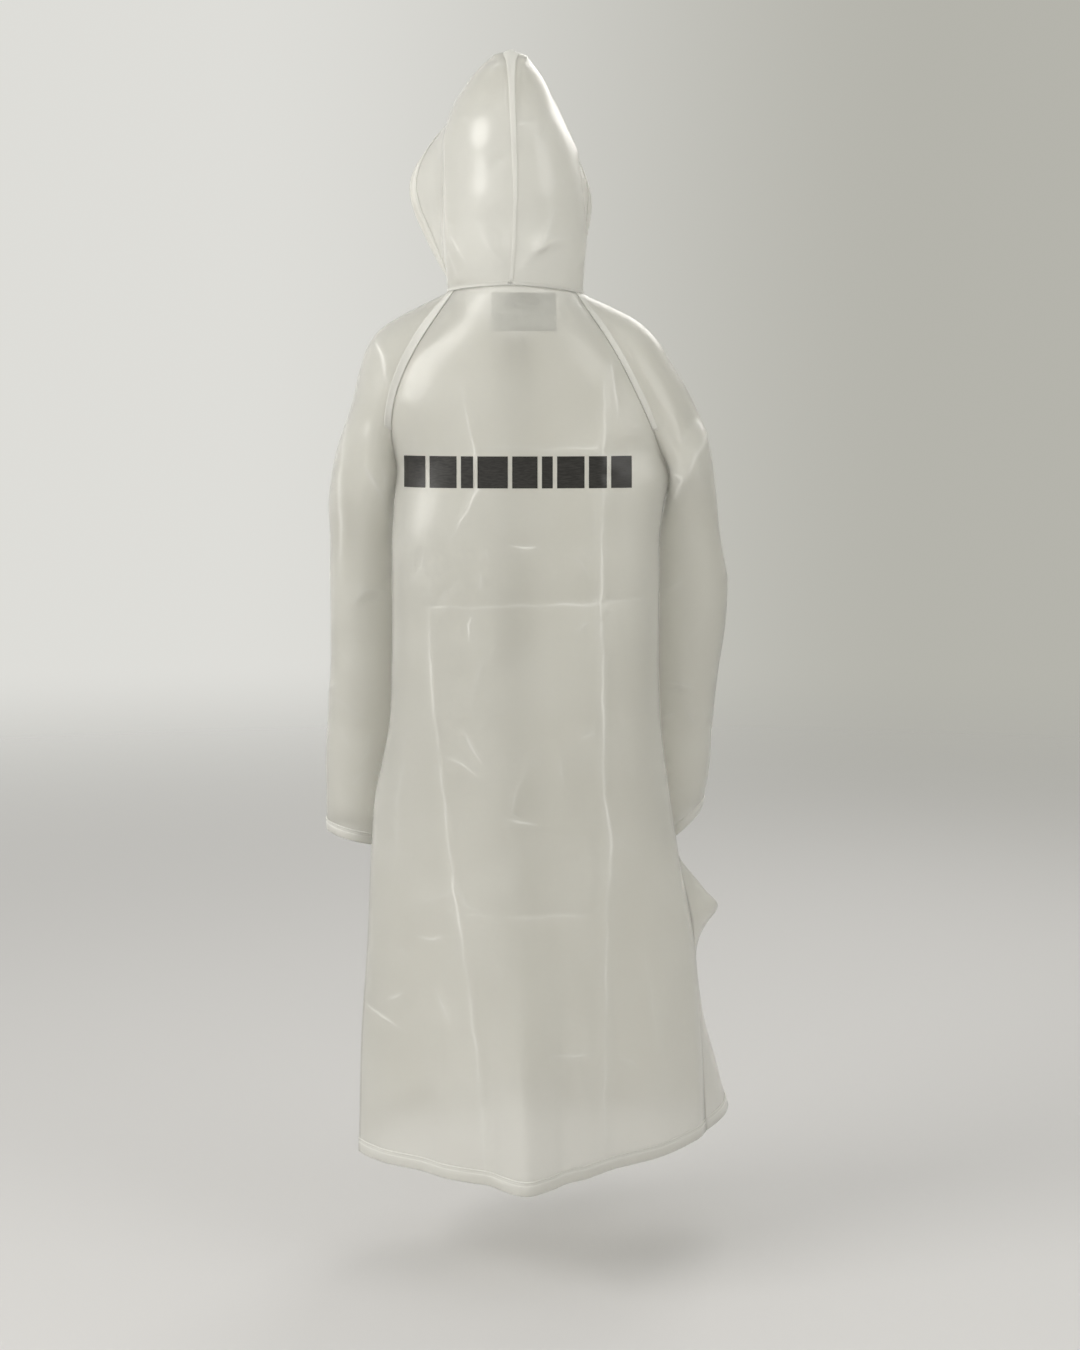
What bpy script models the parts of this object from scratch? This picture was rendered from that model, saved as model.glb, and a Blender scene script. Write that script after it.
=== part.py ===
"""A long hooded raincoat of frosted film, worn and hollow, with raglan sleeves.

Metres, +Z up. The coat faces -Y, so the wearer's left is +X. The origin is at the base of
the neck, level with the tops of the shoulders, where the coat hangs on whoever wears it.

Every piece of film is a grid of points: rows run up the coat, columns run round it. The grid
is the film's outer face, and Solidify gives it a wall on the inner side. Hems, laps and the
label are made from cells of the piece that they lie on, moved out or in.
"""

import math
from collections import namedtuple

import bmesh
import bpy
import numpy as np
from mathutils import Matrix, Vector

# Film, metres
WALL = 0.0012
GAP = 0.0003
RAGLAN_SIDE = 0.0003  # each of two pieces stops this far short of their seam
SIDE_SEAM_SIDE = 0.0009  # more where the seam is on an edge, so that the walls inside are clear
BAND_WALL = 0.0010
BAND_LIFT = 0.0004
LABEL_WALL = 0.0010

# Main lengths, metres
HEM_LEVEL = -1.252
ARMPIT_LEVEL = -0.25
HEM_BAND = 0.021
CUFF_BAND = 0.017
FACE_BAND = 0.016
RAGLAN_LAP = 0.017
CENTRE_LAP = 0.006
FRONT_OVERLAP = 0.05
FRONT_MIDDLE = 0.004  # the x of the middle of the two fronts, below the armpits
OVERLAP_BLEND = (1.2, 0.3)  # the next cell's width: times half the overlap, or times half a row
NECK_OPENS = 0.25  # the share of each front's neck edge that the hood leaves free
HOOD_HEIGHT = 0.34

LABEL_WIDTH = 0.092
LABEL_LENGTH = 0.060

SNAP_LEVELS = (-0.16, -0.35, -0.54, -0.73, -0.92)
SNAP_RADIUS = 0.006
SNAP_HEIGHT = 0.0025
SNAP_TOP = 0.7  # a cap's top over its base
SNAP_SIDES = 14

# Where the rows of the body lie: (from level, to level, rows on the way)
BODY_ROWS = (
    (HEM_LEVEL, HEM_LEVEL + HEM_BAND, 1),
    (HEM_LEVEL + HEM_BAND, -0.96, 5),
    (-0.96, -0.82, 5),
    (-0.82, -0.34, 9),
    (-0.34, ARMPIT_LEVEL, 2),
)
RAGLAN_ROWS = 8
BACK_CELLS = 24
FRONT_CELLS = 10
SLEEVE_CELLS = 16
SLEEVE_ROWS = 13
HOOD_ROWS = 13
HOOD_CELLS = 12

# The body below the armpits: the back's and the front's middle, the two side seams, and how
# square the corners between them are (2 is an ellipse, less is more pointed).
Section = namedtuple(
    "Section",
    "level back_x back_y left_x left_y right_x right_y front_y"
    " back_square left_square right_square",
)
BODY = [
    Section(-1.252, -0.010, 0.150, 0.237, -0.025, -0.283, -0.120, -0.270, 1.35, 2.0, 2.7),
    Section(-1.063, -0.008, 0.143, 0.230, -0.010, -0.272, -0.088, -0.246, 1.45, 1.9, 2.3),
    Section(-0.932, -0.005, 0.138, 0.220, 0.000, -0.258, -0.050, -0.226, 1.60, 1.8, 2.0),
    Section(-0.800, -0.002, 0.132, 0.213, 0.012, -0.233, -0.020, -0.202, 1.75, 1.6, 1.7),
    Section(-0.710, 0.000, 0.128, 0.206, 0.020, -0.219, 0.000, -0.188, 1.90, 1.5, 1.5),
    Section(-0.610, 0.002, 0.124, 0.185, 0.030, -0.205, 0.020, -0.176, 2.10, 1.5, 1.5),
    Section(-0.485, 0.004, 0.120, 0.179, 0.038, -0.201, 0.030, -0.165, 2.30, 1.5, 1.5),
    Section(-0.340, 0.006, 0.114, 0.178, 0.030, -0.201, 0.030, -0.160, 2.30, 1.5, 1.5),
    Section(-0.250, 0.007, 0.108, 0.172, 0.000, -0.214, 0.020, -0.155, 2.30, 1.6, 1.6),
]

# The raglan seams, from the armpits to the neck, and the middle of the back and the front
# between them. turn says how far a row bends round, in degrees, by the time it meets the seam.
Raglan = namedtuple(
    "Raglan", "level back_left back_right front_left front_right back front turn"
)
RAGLAN = [
    Raglan(
        -0.250,
        (0.172, 0.000, -0.250),
        (-0.214, 0.020, -0.250),
        (0.172, 0.000, -0.250),
        (-0.214, 0.020, -0.250),
        (0.007, 0.108, -0.250),
        (0.004, -0.155, -0.250),
        90,
    ),
    Raglan(
        -0.190,
        (0.177, 0.048, -0.190),
        (-0.191, 0.052, -0.190),
        (0.158, -0.085, -0.190),
        (-0.172, -0.080, -0.190),
        (0.008, 0.108, -0.190),
        (0.004, -0.152, -0.195),
        75,
    ),
    Raglan(
        -0.130,
        (0.167, 0.066, -0.130),
        (-0.163, 0.062, -0.130),
        (0.143, -0.108, -0.130),
        (-0.146, -0.104, -0.130),
        (0.009, 0.107, -0.128),
        (0.004, -0.145, -0.142),
        60,
    ),
    Raglan(
        -0.070,
        (0.139, 0.062, -0.070),
        (-0.131, 0.057, -0.070),
        (0.118, -0.098, -0.072),
        (-0.114, -0.095, -0.074),
        (0.009, 0.102, -0.062),
        (0.003, -0.130, -0.098),
        58,
    ),
    Raglan(
        0.0,
        (0.088, 0.030, 0.008),
        (-0.080, 0.030, 0.005),
        (0.080, -0.050, -0.012),
        (-0.074, -0.050, -0.014),
        (0.009, 0.085, 0.013),
        (0.003, -0.100, -0.055),
        62,
    ),
]

# The sleeves, from the neck to the cuff: the outer line, the underarm line, how deep the
# sleeve is behind and in front of them, and how far a row turns on its way to its seam. Over
# the raglan rows the seams above take the place of the underarm line.
Arm = namedtuple("Arm", "level outer under back_depth front_depth turn")
SLEEVE_LEFT = [
    Arm(0.000, (0.099, -0.005, 0.006), (0.085, -0.005, 0.000), 0.037, 0.048, 70),
    Arm(-0.070, (0.181, -0.010, -0.035), (0.130, -0.010, -0.070), 0.074, 0.090, 80),
    Arm(-0.130, (0.214, -0.012, -0.072), (0.155, -0.010, -0.130), 0.080, 0.097, 95),
    Arm(-0.190, (0.238, -0.020, -0.152), (0.168, -0.010, -0.190), 0.074, 0.084, 120),
    Arm(-0.250, (0.266, -0.030, -0.238), (0.172, 0.000, -0.250), 0.062, 0.074, 180),
    Arm(-0.303, (0.274, -0.032, -0.303), (0.180, -0.032, -0.315), 0.058, 0.066, 180),
    Arm(-0.347, (0.272, -0.040, -0.347), (0.179, -0.052, -0.365), 0.057, 0.062, 180),
    Arm(-0.552, (0.276, -0.055, -0.552), (0.178, -0.065, -0.570), 0.056, 0.060, 180),
    Arm(-0.700, (0.283, -0.062, -0.700), (0.192, -0.070, -0.722), 0.050, 0.056, 180),
    Arm(-0.773, (0.282, -0.066, -0.773), (0.200, -0.072, -0.797), 0.048, 0.052, 180),
]
SLEEVE_RIGHT = [
    Arm(0.000, (-0.092, -0.005, 0.004), (-0.080, -0.005, 0.000), 0.037, 0.048, 70),
    Arm(-0.070, (-0.182, -0.010, -0.043), (-0.125, -0.010, -0.070), 0.071, 0.087, 80),
    Arm(-0.130, (-0.222, -0.015, -0.098), (-0.150, -0.010, -0.130), 0.079, 0.092, 95),
    Arm(-0.190, (-0.262, -0.022, -0.178), (-0.175, -0.010, -0.190), 0.078, 0.082, 120),
    Arm(-0.250, (-0.281, -0.028, -0.250), (-0.214, 0.020, -0.250), 0.056, 0.078, 180),
    Arm(-0.317, (-0.289, -0.036, -0.317), (-0.202, -0.030, -0.325), 0.052, 0.066, 180),
    Arm(-0.429, (-0.303, -0.055, -0.429), (-0.194, -0.066, -0.450), 0.054, 0.062, 180),
    Arm(-0.609, (-0.287, -0.095, -0.609), (-0.194, -0.104, -0.640), 0.052, 0.060, 180),
    Arm(-0.700, (-0.283, -0.120, -0.702), (-0.205, -0.128, -0.748), 0.048, 0.056, 180),
    Arm(-0.752, (-0.274, -0.133, -0.752), (-0.211, -0.140, -0.812), 0.046, 0.052, 180),
]

# The hood, from the neck seam (rise 0) to the crown seam (rise 1): its back seam, the widest
# place beside the ears, and the edge of the face opening.
Hood = namedtuple("Hood", "rise seam ear_left ear_right face_left face_right")
HOOD = [
    Hood(
        0.16,
        (0.004, 0.104, 0.070),
        (0.104, -0.010, 0.060),
        (-0.096, -0.010, 0.060),
        (0.088, -0.122, 0.005),
        (-0.066, -0.118, 0.000),
    ),
    Hood(
        0.36,
        (0.002, 0.118, 0.140),
        (0.106, -0.015, 0.130),
        (-0.093, -0.015, 0.130),
        (0.128, -0.128, 0.075),
        (-0.094, -0.126, 0.070),
    ),
    Hood(
        0.56,
        (0.004, 0.118, 0.205),
        (0.106, -0.018, 0.195),
        (-0.084, -0.018, 0.190),
        (0.158, -0.122, 0.156),
        (-0.106, -0.126, 0.140),
    ),
    Hood(
        0.74,
        (0.006, 0.104, 0.262),
        (0.096, -0.020, 0.250),
        (-0.064, -0.020, 0.245),
        (0.132, -0.126, 0.216),
        (-0.084, -0.130, 0.206),
    ),
    Hood(
        0.88,
        (0.008, 0.078, 0.306),
        (0.066, -0.025, 0.294),
        (-0.040, -0.025, 0.286),
        (0.082, -0.134, 0.260),
        (-0.050, -0.136, 0.252),
    ),
    Hood(
        1.00,
        (0.009, 0.040, 0.340),
        (0.008, -0.045, 0.324),
        (0.008, -0.045, 0.324),
        (0.006, -0.142, 0.288),
        (0.006, -0.142, 0.288),
    ),
]
HOOD_ROUND = 2.2
FACE_BULGE = 0.6  # how far a row goes straight on from the ear before it turns to the face
NECK_FRONT_POINTS = 24
NECK_POINTS = 96
NECK_CLEARANCE = 0.0022  # the hood's lower edge over the coat's sloping neck edge
HOOD_SEAM_SIDE = 0.0013  # the crown is a ridge, so the two walls need more room under it

# The largest folds of the body. angle is where the fold's ridge stands: 0 at the middle of
# the back, 90 at the left side seam, 180 in front and 270 at the right side seam.
# A crisp fold rises straight to its ridge, and the others are rounded.
Fold = namedtuple("Fold", "name angle level out spread up down crisp")
FOLDS = [
    Fold("centre back ridge", 0, -1.252, 0.034, 16, 0.45, 0.1, False),
    Fold("right hip corner", 254, -0.904, 0.072, 15, 0.110, 0.072, True),
    Fold("right front flare", 243, -1.252, 0.106, 25, 0.30, 0.1, True),
    Fold("left back flute", 52, -1.252, -0.010, 18, 0.50, 0.1, False),
    Fold("right back flute", 322, -1.252, -0.012, 18, 0.50, 0.1, False),
    Fold("left front flute", 130, -1.252, 0.014, 26, 0.50, 0.1, False),
    Fold("left front hollow", 158, -1.252, -0.010, 18, 0.45, 0.1, False),
    Fold("right front hollow", 205, -1.252, -0.010, 18, 0.45, 0.1, False),
]

# The largest folds of the sleeves: share is how far along the sleeve from neck to cuff, and
# side is how far round from the back seam (0) over the outer line (0.5) to the front one (1).
SleeveFold = namedtuple("SleeveFold", "name share side out spread reach")
SLEEVE_FOLDS = {
    "left": [
        SleeveFold("elbow dent", 0.76, 0.22, -0.008, 0.22, 0.055),
        SleeveFold("inner elbow roll", 0.70, 0.20, 0.006, 0.22, 0.050),
        SleeveFold("front elbow fold", 0.72, 0.75, -0.008, 0.22, 0.060),
    ],
    "right": [
        SleeveFold("elbow dent", 0.80, 0.24, -0.009, 0.20, 0.050),
        SleeveFold("upper arm roll", 0.66, 0.22, 0.005, 0.22, 0.050),
        SleeveFold("front elbow fold", 0.74, 0.75, -0.008, 0.22, 0.060),
    ],
}

FILM_COLOUR = (0.80, 0.79, 0.75, 1.0)
HEM_COLOUR = (0.86, 0.85, 0.80, 1.0)
LABEL_COLOUR = (0.93, 0.93, 0.92, 1.0)
SNAP_COLOUR = (0.88, 0.88, 0.86, 1.0)


# ---------------------------------------------------------------- curves through the tables
def through(knots, values, at):
    """The values at the places asked for, on a smooth curve through each knot."""
    order = np.argsort(knots)
    knots = np.asarray(knots, float)[order]
    values = np.asarray(values, float).reshape(len(knots), -1)[order]
    steps = np.diff(knots)[:, None]
    slopes = np.diff(values, axis=0) / steps
    tangents = np.vstack([slopes[:1], 0.5 * (slopes[1:] + slopes[:-1]), slopes[-1:]])
    turning = slopes[1:] * slopes[:-1] <= 0
    tangents[1:-1][turning] = 0.0
    at = np.clip(np.atleast_1d(at), knots[0], knots[-1])
    i = np.clip(np.searchsorted(knots, at, side="right") - 1, 0, len(knots) - 2)
    t = ((at - knots[i]) / steps[i, 0])[:, None]
    return (
        (2 * t**3 - 3 * t**2 + 1) * values[i]
        + (t**3 - 2 * t**2 + t) * steps[i] * tangents[i]
        + (3 * t**2 - 2 * t**3) * values[i + 1]
        + (t**3 - t**2) * steps[i] * tangents[i + 1]
    )


def column(table, name, at, knot="level"):
    """One named column of a table, read between its rows."""
    knots = [getattr(row, knot) for row in table]
    return through(knots, [getattr(row, name) for row in table], at)[0]


def arc(start, end, lead, turn, count=48):
    """A bent line that leaves start along lead and reaches end after turning so many degrees."""
    start, end, lead = np.array(start), np.array(end), np.array(lead)
    turn = math.radians(turn)
    rest = (end - start - math.sin(turn) * lead) / (1 - math.cos(turn))
    angles = np.linspace(0, turn, count)[:, None]
    return start + np.sin(angles) * lead + (1 - np.cos(angles)) * rest


def corner(middle, side, square, count=48):
    """A quarter of a rounded outline, from the middle of the back or front to a side."""
    middle, side = np.array(middle), np.array(side)
    angles = np.linspace(0, math.pi / 2, count)
    across = np.sin(angles) ** (2 / square)
    along = np.cos(angles) ** (2 / square)
    points = middle + np.outer(across, side - middle)
    points[:, 1] = side[1] + along * (middle[1] - side[1])
    return points


def lengths(line):
    """How far along a line each of its points is."""
    return np.concatenate([[0], np.cumsum(np.linalg.norm(np.diff(line, axis=0), axis=1))])


def spaced(line, places):
    """Points at the given distances along a line."""
    along = lengths(line)
    return np.stack([np.interp(places, along, line[:, k]) for k in range(3)], axis=1)


def bell(distance, reach, crisp=False):
    """1 at the middle of a fold, going down to 0 at its reach, straight where it is crisp."""
    share = np.clip(np.abs(distance) / reach, 0, 1)
    return 1 - share if crisp else 0.5 + 0.5 * np.cos(math.pi * share)


# --------------------------------------------------------------------------- rows of the body
def body_levels():
    """The nominal level of each row of the body, from the hem up to the neck."""
    levels = [HEM_LEVEL]
    for low, high, rows in BODY_ROWS:
        levels += [low + (high - low) * (i + 1) / rows for i in range(rows)]
    raglan = [ARMPIT_LEVEL * (1 - (i + 1) / RAGLAN_ROWS) for i in range(RAGLAN_ROWS)]
    return levels + raglan


def quarter(level, face, side):
    """Half a row of the back or the front: from its middle to its seam on one side."""
    if level > ARMPIT_LEVEL:
        middle = column(RAGLAN, face, level)
        seam = column(RAGLAN, f"{face}_{side}", level)
        turn = float(column(RAGLAN, "turn", level)[0])
        across = np.array([1, 0, 0.5]) * (seam - middle) / math.sin(math.radians(turn))
        return arc(middle, seam, across, turn)
    seam = [column(BODY, f"{side}_{axis}", level)[0] for axis in "xy"]
    if face == "back":
        middle = [column(BODY, f"back_{axis}", level)[0] for axis in "xy"]
        square = column(BODY, "back_square", level)[0]
    else:
        middle = [FRONT_MIDDLE, column(BODY, "front_y", level)[0]]
        square = column(BODY, f"{side}_square", level)[0]
    return corner([*middle, level], [*seam, level], square)


def folded(points, angles, level):
    """Body points moved out or in, away from the upright axis, by the folds of that level."""
    moved = points.copy()
    for fold in FOLDS:
        turned = (angles - fold.angle + 180) % 360 - 180
        reach = fold.up if level > fold.level else fold.down
        upright = bell(level - fold.level, reach, fold.crisp)
        push = fold.out * bell(turned, fold.spread, fold.crisp) * upright
        away = points[:, :2] / np.linalg.norm(points[:, :2], axis=1)[:, None]
        moved[:, :2] += push[:, None] * away
    return moved


def seam_side(level):
    """How far a piece stops short of its seam with the next one."""
    return SIDE_SEAM_SIDE if level < ARMPIT_LEVEL else RAGLAN_SIDE


def back_row(level):
    """The back from its left seam to its right one, each end short of the seam."""
    left, right = quarter(level, "back", "left"), quarter(level, "back", "right")
    shares = np.linspace(0, 1, BACK_CELLS // 2 + 1)
    rows = []
    for half in (left, right):
        full = lengths(half)[-1]
        rows.append(spaced(half, np.append(shares[:-1] * full, full - seam_side(level))))
    points = np.vstack([rows[0][::-1], rows[1][1:]])
    angles = np.concatenate([90 * shares[::-1], 360 - 90 * shares[1:]])
    return folded(points, angles, level)


def front_row(level, side):
    """A front from the overlap at the middle to its side seam. The left one lies outside.

    Both run the same way round the coat, so that their facets match where they overlap.
    """
    mine = quarter(level, "front", side)
    other = quarter(level, "front", "right" if side == "left" else "left")
    half = FRONT_OVERLAP / 2
    full = lengths(mine)[-1]
    blend = min(OVERLAP_BLEND[0] * half, OVERLAP_BLEND[1] * full)
    rest = np.linspace(half + blend, full, FRONT_CELLS)
    rest[-1] -= seam_side(level)
    near = spaced(mine, np.concatenate([[0, half], rest]))
    points = np.vstack([spaced(other, [half]), near])
    share = np.concatenate([[-half, 0, half], rest]) / full
    angles = 180 - 90 * share if side == "left" else 180 + 90 * share
    points = folded(points, angles, level)
    if side == "left":
        lift = np.zeros(len(points))
        lift[:3] = WALL + 2 * GAP
        points[:, 1] -= lift
        return points
    return points[::-1]


# --------------------------------------------------------------------------- rows of a sleeve
def sleeve_row(table, side, level):
    """A row of a sleeve, from its back seam over the outer line to its front seam."""
    outer = column(table, "outer", level)
    turn = float(column(table, "turn", level)[0])
    halves = []
    for face, way in (("back", 1), ("front", -1)):
        if level > ARMPIT_LEVEL:
            seam = column(RAGLAN, f"{face}_{side}", level)
        else:
            seam = column(table, "under", level)
        depth = column(table, f"{face}_depth", level)[0]
        halves.append(arc(outer, seam, (0, way * depth, 0), turn))
    return halves


def sleeve_levels(table):
    """The nominal level of each row of a sleeve, from the neck down to the cuff's edge."""
    raglan = [ARMPIT_LEVEL * i / RAGLAN_ROWS for i in range(RAGLAN_ROWS + 1)]
    cuff = table[-1].level
    arm = np.linspace(ARMPIT_LEVEL, cuff + CUFF_BAND, SLEEVE_ROWS + 1)[1:]
    return raglan + list(arm) + [cuff]


def sleeve_points(table, side):
    """The grid of a sleeve. Its second and last but one columns are the raglan laps' edges."""
    rows = []
    levels = sleeve_levels(table)
    half_cells = SLEEVE_CELLS // 2
    for level in levels:
        back, front = sleeve_row(table, side, level)
        ends = []
        for half in (back, front):
            full = lengths(half)[-1]
            lap = min(RAGLAN_LAP, 0.5 * full)
            inner = np.linspace(0, full - lap, half_cells)
            stop = full - RAGLAN_SIDE if level >= ARMPIT_LEVEL else full
            ends.append(spaced(half, np.append(inner, stop)))
        rows.append(np.vstack([ends[0][::-1], ends[1][1:]]))
    points = np.array(rows)
    shares = np.linspace(0, 1, len(levels))
    sides = np.linspace(0, 1, points.shape[1])
    middles = points.mean(axis=1, keepdims=True)
    away = points - middles
    away /= np.linalg.norm(away, axis=2, keepdims=True)
    for fold in SLEEVE_FOLDS[side]:
        push = np.outer(bell(shares - fold.share, fold.reach), bell(sides - fold.side, fold.spread))
        points += fold.out * push[..., None] * away
    return points


# --------------------------------------------------------------------------- rows of the hood
def neck_line(side):
    """The coat's neck edge on one side, from the middle of the back to the front."""
    table = SLEEVE_LEFT if side == "left" else SLEEVE_RIGHT
    back_arc, front_arc = sleeve_row(table, side, 0.0)
    front = quarter(0.0, "front", side)
    full = lengths(front)[-1]
    front = spaced(front, np.linspace(NECK_OPENS * full, full, NECK_FRONT_POINTS))
    return np.vstack(
        [quarter(0.0, "back", side)[:-1], back_arc[::-1], front_arc[1:-1], front[::-1]]
    )


def hood_line(rise, side):
    """A row of the hood above the neck: back seam, past the ear, to the face opening."""
    seam = column(HOOD, "seam", rise, "rise")
    ear = column(HOOD, f"ear_{side}", rise, "rise")
    face = column(HOOD, f"face_{side}", rise, "rise")
    back = corner(seam, ear, HOOD_ROUND)
    back[:, 2] = np.linspace(seam[2], ear[2], len(back))
    t = np.linspace(0, 1, 32)[1:, None]
    lead = np.array([0, face[1] - ear[1], 0]) * FACE_BULGE
    front = (1 - t) ** 2 * ear + 2 * t * (1 - t) * (ear + lead) + t**2 * face
    return np.vstack([back, front])


def hood_points(side):
    """The grid of one half of the hood, from the neck up to the crown seam."""
    way = 1 if side == "left" else -1
    lowest = HOOD[0].rise
    crown_lap = 1 - CENTRE_LAP / HOOD_HEIGHT
    rises = [*np.linspace(0, crown_lap, HOOD_ROWS), 1.0]
    rows = []
    for rise in rises:
        if rise < lowest:
            share = rise / lowest
            base, first = (
                spaced(line, np.linspace(0, lengths(line)[-1], NECK_POINTS))
                for line in (neck_line(side), hood_line(lowest, side))
            )
            line = base + (first - base) * share
        else:
            line = hood_line(rise, side)
        full = lengths(line)[-1]
        inner = np.linspace(CENTRE_LAP, full - FACE_BAND, HOOD_CELLS - 1)
        row = spaced(line, np.concatenate([[0], inner, [full]]))
        row[0, 0] += way * HOOD_SEAM_SIDE
        rows.append(row)
    points = np.array(rows)
    points[-1, :, 0] = points[-1, :, 0] + way * HOOD_SEAM_SIDE
    points[-1, 0, 0] -= way * HOOD_SEAM_SIDE
    points[0, :, 2] += NECK_CLEARANCE
    return points


# --------------------------------------------------------------------------------- the pieces
class Film:
    """A piece of film: its grid of points, which may close into a tube from one row on."""

    def __init__(self, points, tube_from=None):
        rows, cols = points.shape[:2]
        self.index = np.arange(rows * cols).reshape(rows, cols)
        if tube_from is not None:
            self.index[tube_from:, -1] = self.index[tube_from:, 0]
            points[tube_from, 0] = points[tube_from, [0, -1]].mean(axis=0)
        self.points = points.reshape(-1, 3)
        middles = points.mean(axis=1, keepdims=True)
        u = points[:-1, 1:] - points[:-1, :-1]
        v = points[1:, :-1] - points[:-1, :-1]
        away = (points - middles)[:-1, :-1]
        self.turned = (np.cross(u, v) * away).sum() < 0
        everywhere = np.ones((rows - 1, cols - 1), bool)
        surface = bmesh.new()
        self.fill(surface, everywhere, self.points)
        surface.verts.index_update()
        self.lift = np.zeros_like(self.points)
        for key, vert in self.filled.items():
            self.lift[key] = np.array(vert.normal) * vert.calc_shell_factor()
        surface.free()

    def fill(self, surface, cells, points):
        """Adds the cells that are asked for to a bmesh, two triangles each, facing outwards."""
        self.filled = {}

        def vert(key):
            if key not in self.filled:
                self.filled[key] = surface.verts.new(points[key])
            return self.filled[key]

        for r, c in zip(*np.nonzero(cells)):
            a, b = self.index[r, c], self.index[r, c + 1]
            d, e = self.index[r + 1, c], self.index[r + 1, c + 1]
            for corners in ((a, b, e), (a, e, d)):
                ordered = corners[::-1] if self.turned else corners
                if len(set(ordered)) == 3:
                    surface.faces.new([vert(int(key)) for key in ordered])
        surface.normal_update()

    def cells(self, rows=slice(None), cols=slice(None)):
        """A mask of the grid's cells, true in the given rows and columns."""
        chosen = np.zeros((self.index.shape[0] - 1, self.index.shape[1] - 1), bool)
        chosen[rows, cols] = True
        return chosen

    def make(self, name, material, cells=None, out=0.0, wall=WALL, grow=-1):
        """Makes an object of the cells, moved out, with a wall on its inner or outer side."""
        chosen = self.cells() if cells is None else cells
        surface = bmesh.new()
        self.fill(surface, chosen, self.points + self.lift * out)
        mesh = bpy.data.meshes.new(name)
        surface.to_mesh(mesh)
        surface.free()
        piece = bpy.data.objects.new(name, mesh)
        solid = piece.modifiers.new("wall", "SOLIDIFY")
        solid.thickness = wall
        solid.offset = grow
        solid.use_even_offset = True
        mesh.materials.append(material)
        mesh.shade_smooth()
        COAT.objects.link(piece)
        return piece

    def band(self, name, material, cells):
        """A hem or lap: a thin wall that lies on the outside of some cells."""
        return self.make(name, material, cells, BAND_LIFT, BAND_WALL, 1)


def finish(name, colour, roughness, alpha=1.0):
    """A Principled material."""
    material = bpy.data.materials.new(name)
    material.use_nodes = True
    shader = material.node_tree.nodes["Principled BSDF"]
    shader.inputs["Base Color"].default_value = colour
    shader.inputs["Roughness"].default_value = roughness
    shader.inputs["Metallic"].default_value = 0.0
    shader.inputs["Alpha"].default_value = alpha
    material.diffuse_color = colour
    return material


def make_body(film, hem):
    """The back and the two fronts, with their hems."""
    levels = body_levels()
    back = Film(np.array([back_row(level) for level in levels]))
    back.make("back_panel", film)
    back.band("hem_back", hem, back.cells(rows=slice(0, 1)))
    fronts = {}
    for side in ("left", "right"):
        rows = np.array([front_row(level, side) for level in levels])
        front = Film(rows)
        front.make(f"front_{side}", film)
        over = slice(None) if side == "left" else slice(0, -2)
        hemmed = front.cells(rows=slice(0, 1), cols=over)
        front.band(f"hem_front_{side}", hem, hemmed)
        fronts[side] = front
    return back, fronts["left"]


def make_sleeves(film, hem):
    """The raglan sleeves, with their cuff hems and the laps of their raglan seams."""
    for side, table in (("left", SLEEVE_LEFT), ("right", SLEEVE_RIGHT)):
        sleeve = Film(sleeve_points(table, side), tube_from=RAGLAN_ROWS)
        sleeve.make(f"sleeve_{side}", film)
        sleeve.band(f"cuff_hem_{side}", hem, sleeve.cells(rows=slice(-1, None)))
        lapped = slice(0, RAGLAN_ROWS - 2)
        for face, col in (("back", slice(0, 1)), ("front", slice(-1, None))):
            sleeve.band(f"raglan_lap_{face}_{side}", hem, sleeve.cells(lapped, col))


def make_hood(film, hem):
    """The two halves of the hood, the hems of its face opening and the lap of its seam."""
    for side in ("left", "right"):
        half = Film(hood_points(side))
        half.make(f"hood_{side}", film)
        half.band(f"hood_hem_{side}", hem, half.cells(cols=slice(-1, None)))
        if side == "left":
            seam = half.cells(cols=slice(0, 1)) | half.cells(rows=slice(-1, None))
            seam[:, -1] = False
            half.band("hood_centre_lap", hem, seam)


def make_label(back, material):
    """The plain label that hangs inside the back from the neck seam, on the nearest cells."""
    grid = back.points[back.index]
    middle = BACK_CELLS // 2
    across = np.abs(lengths(grid[-1]) - lengths(grid[-1])[middle])
    down = lengths(grid[::-1, middle])
    half = int(np.argmin(np.abs(across[middle:] - LABEL_WIDTH / 2)))
    rows = int(np.argmin(np.abs(down - LABEL_LENGTH)))
    cells = back.cells(rows=slice(-rows, None), cols=slice(middle - half, middle + half))
    back.make("neck_label", material, cells, -(WALL + GAP), LABEL_WALL, -1)


def make_snaps(front, levels, material):
    """The press studs down the middle of the front: low round caps on the outer front."""
    grid = front.points[front.index]
    for number, level in enumerate(SNAP_LEVELS, 1):
        r = int(np.argmin([abs(a - level) for a in levels]))
        cell = grid[r : r + 2, 1:3]
        across, up = cell[0, 1] - cell[0, 0], cell[1, 0] - cell[0, 0]
        normal = Vector(np.cross(across, up)).normalized()
        if normal.y > 0:
            normal.negate()
        bm = bmesh.new()
        bmesh.ops.create_cone(
            bm,
            cap_ends=True,
            segments=SNAP_SIDES,
            radius1=SNAP_RADIUS,
            radius2=SNAP_TOP * SNAP_RADIUS,
            depth=SNAP_HEIGHT,
        )
        mesh = bpy.data.meshes.new(f"snap_{number}")
        bm.to_mesh(mesh)
        bm.free()
        snap = bpy.data.objects.new(f"snap_{number}", mesh)
        seat = Vector(cell.reshape(-1, 3).mean(axis=0))
        turn = Vector((0, 0, 1)).rotation_difference(normal).to_matrix().to_4x4()
        lift = 2 * GAP + SNAP_HEIGHT / 2
        snap.matrix_world = Matrix.Translation(seat + normal * lift) @ turn
        mesh.materials.append(material)
        COAT.objects.link(snap)


for old in list(bpy.data.objects):
    bpy.data.objects.remove(old)
COAT = bpy.data.collections.new("raincoat")
bpy.context.scene.collection.children.link(COAT)

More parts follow.
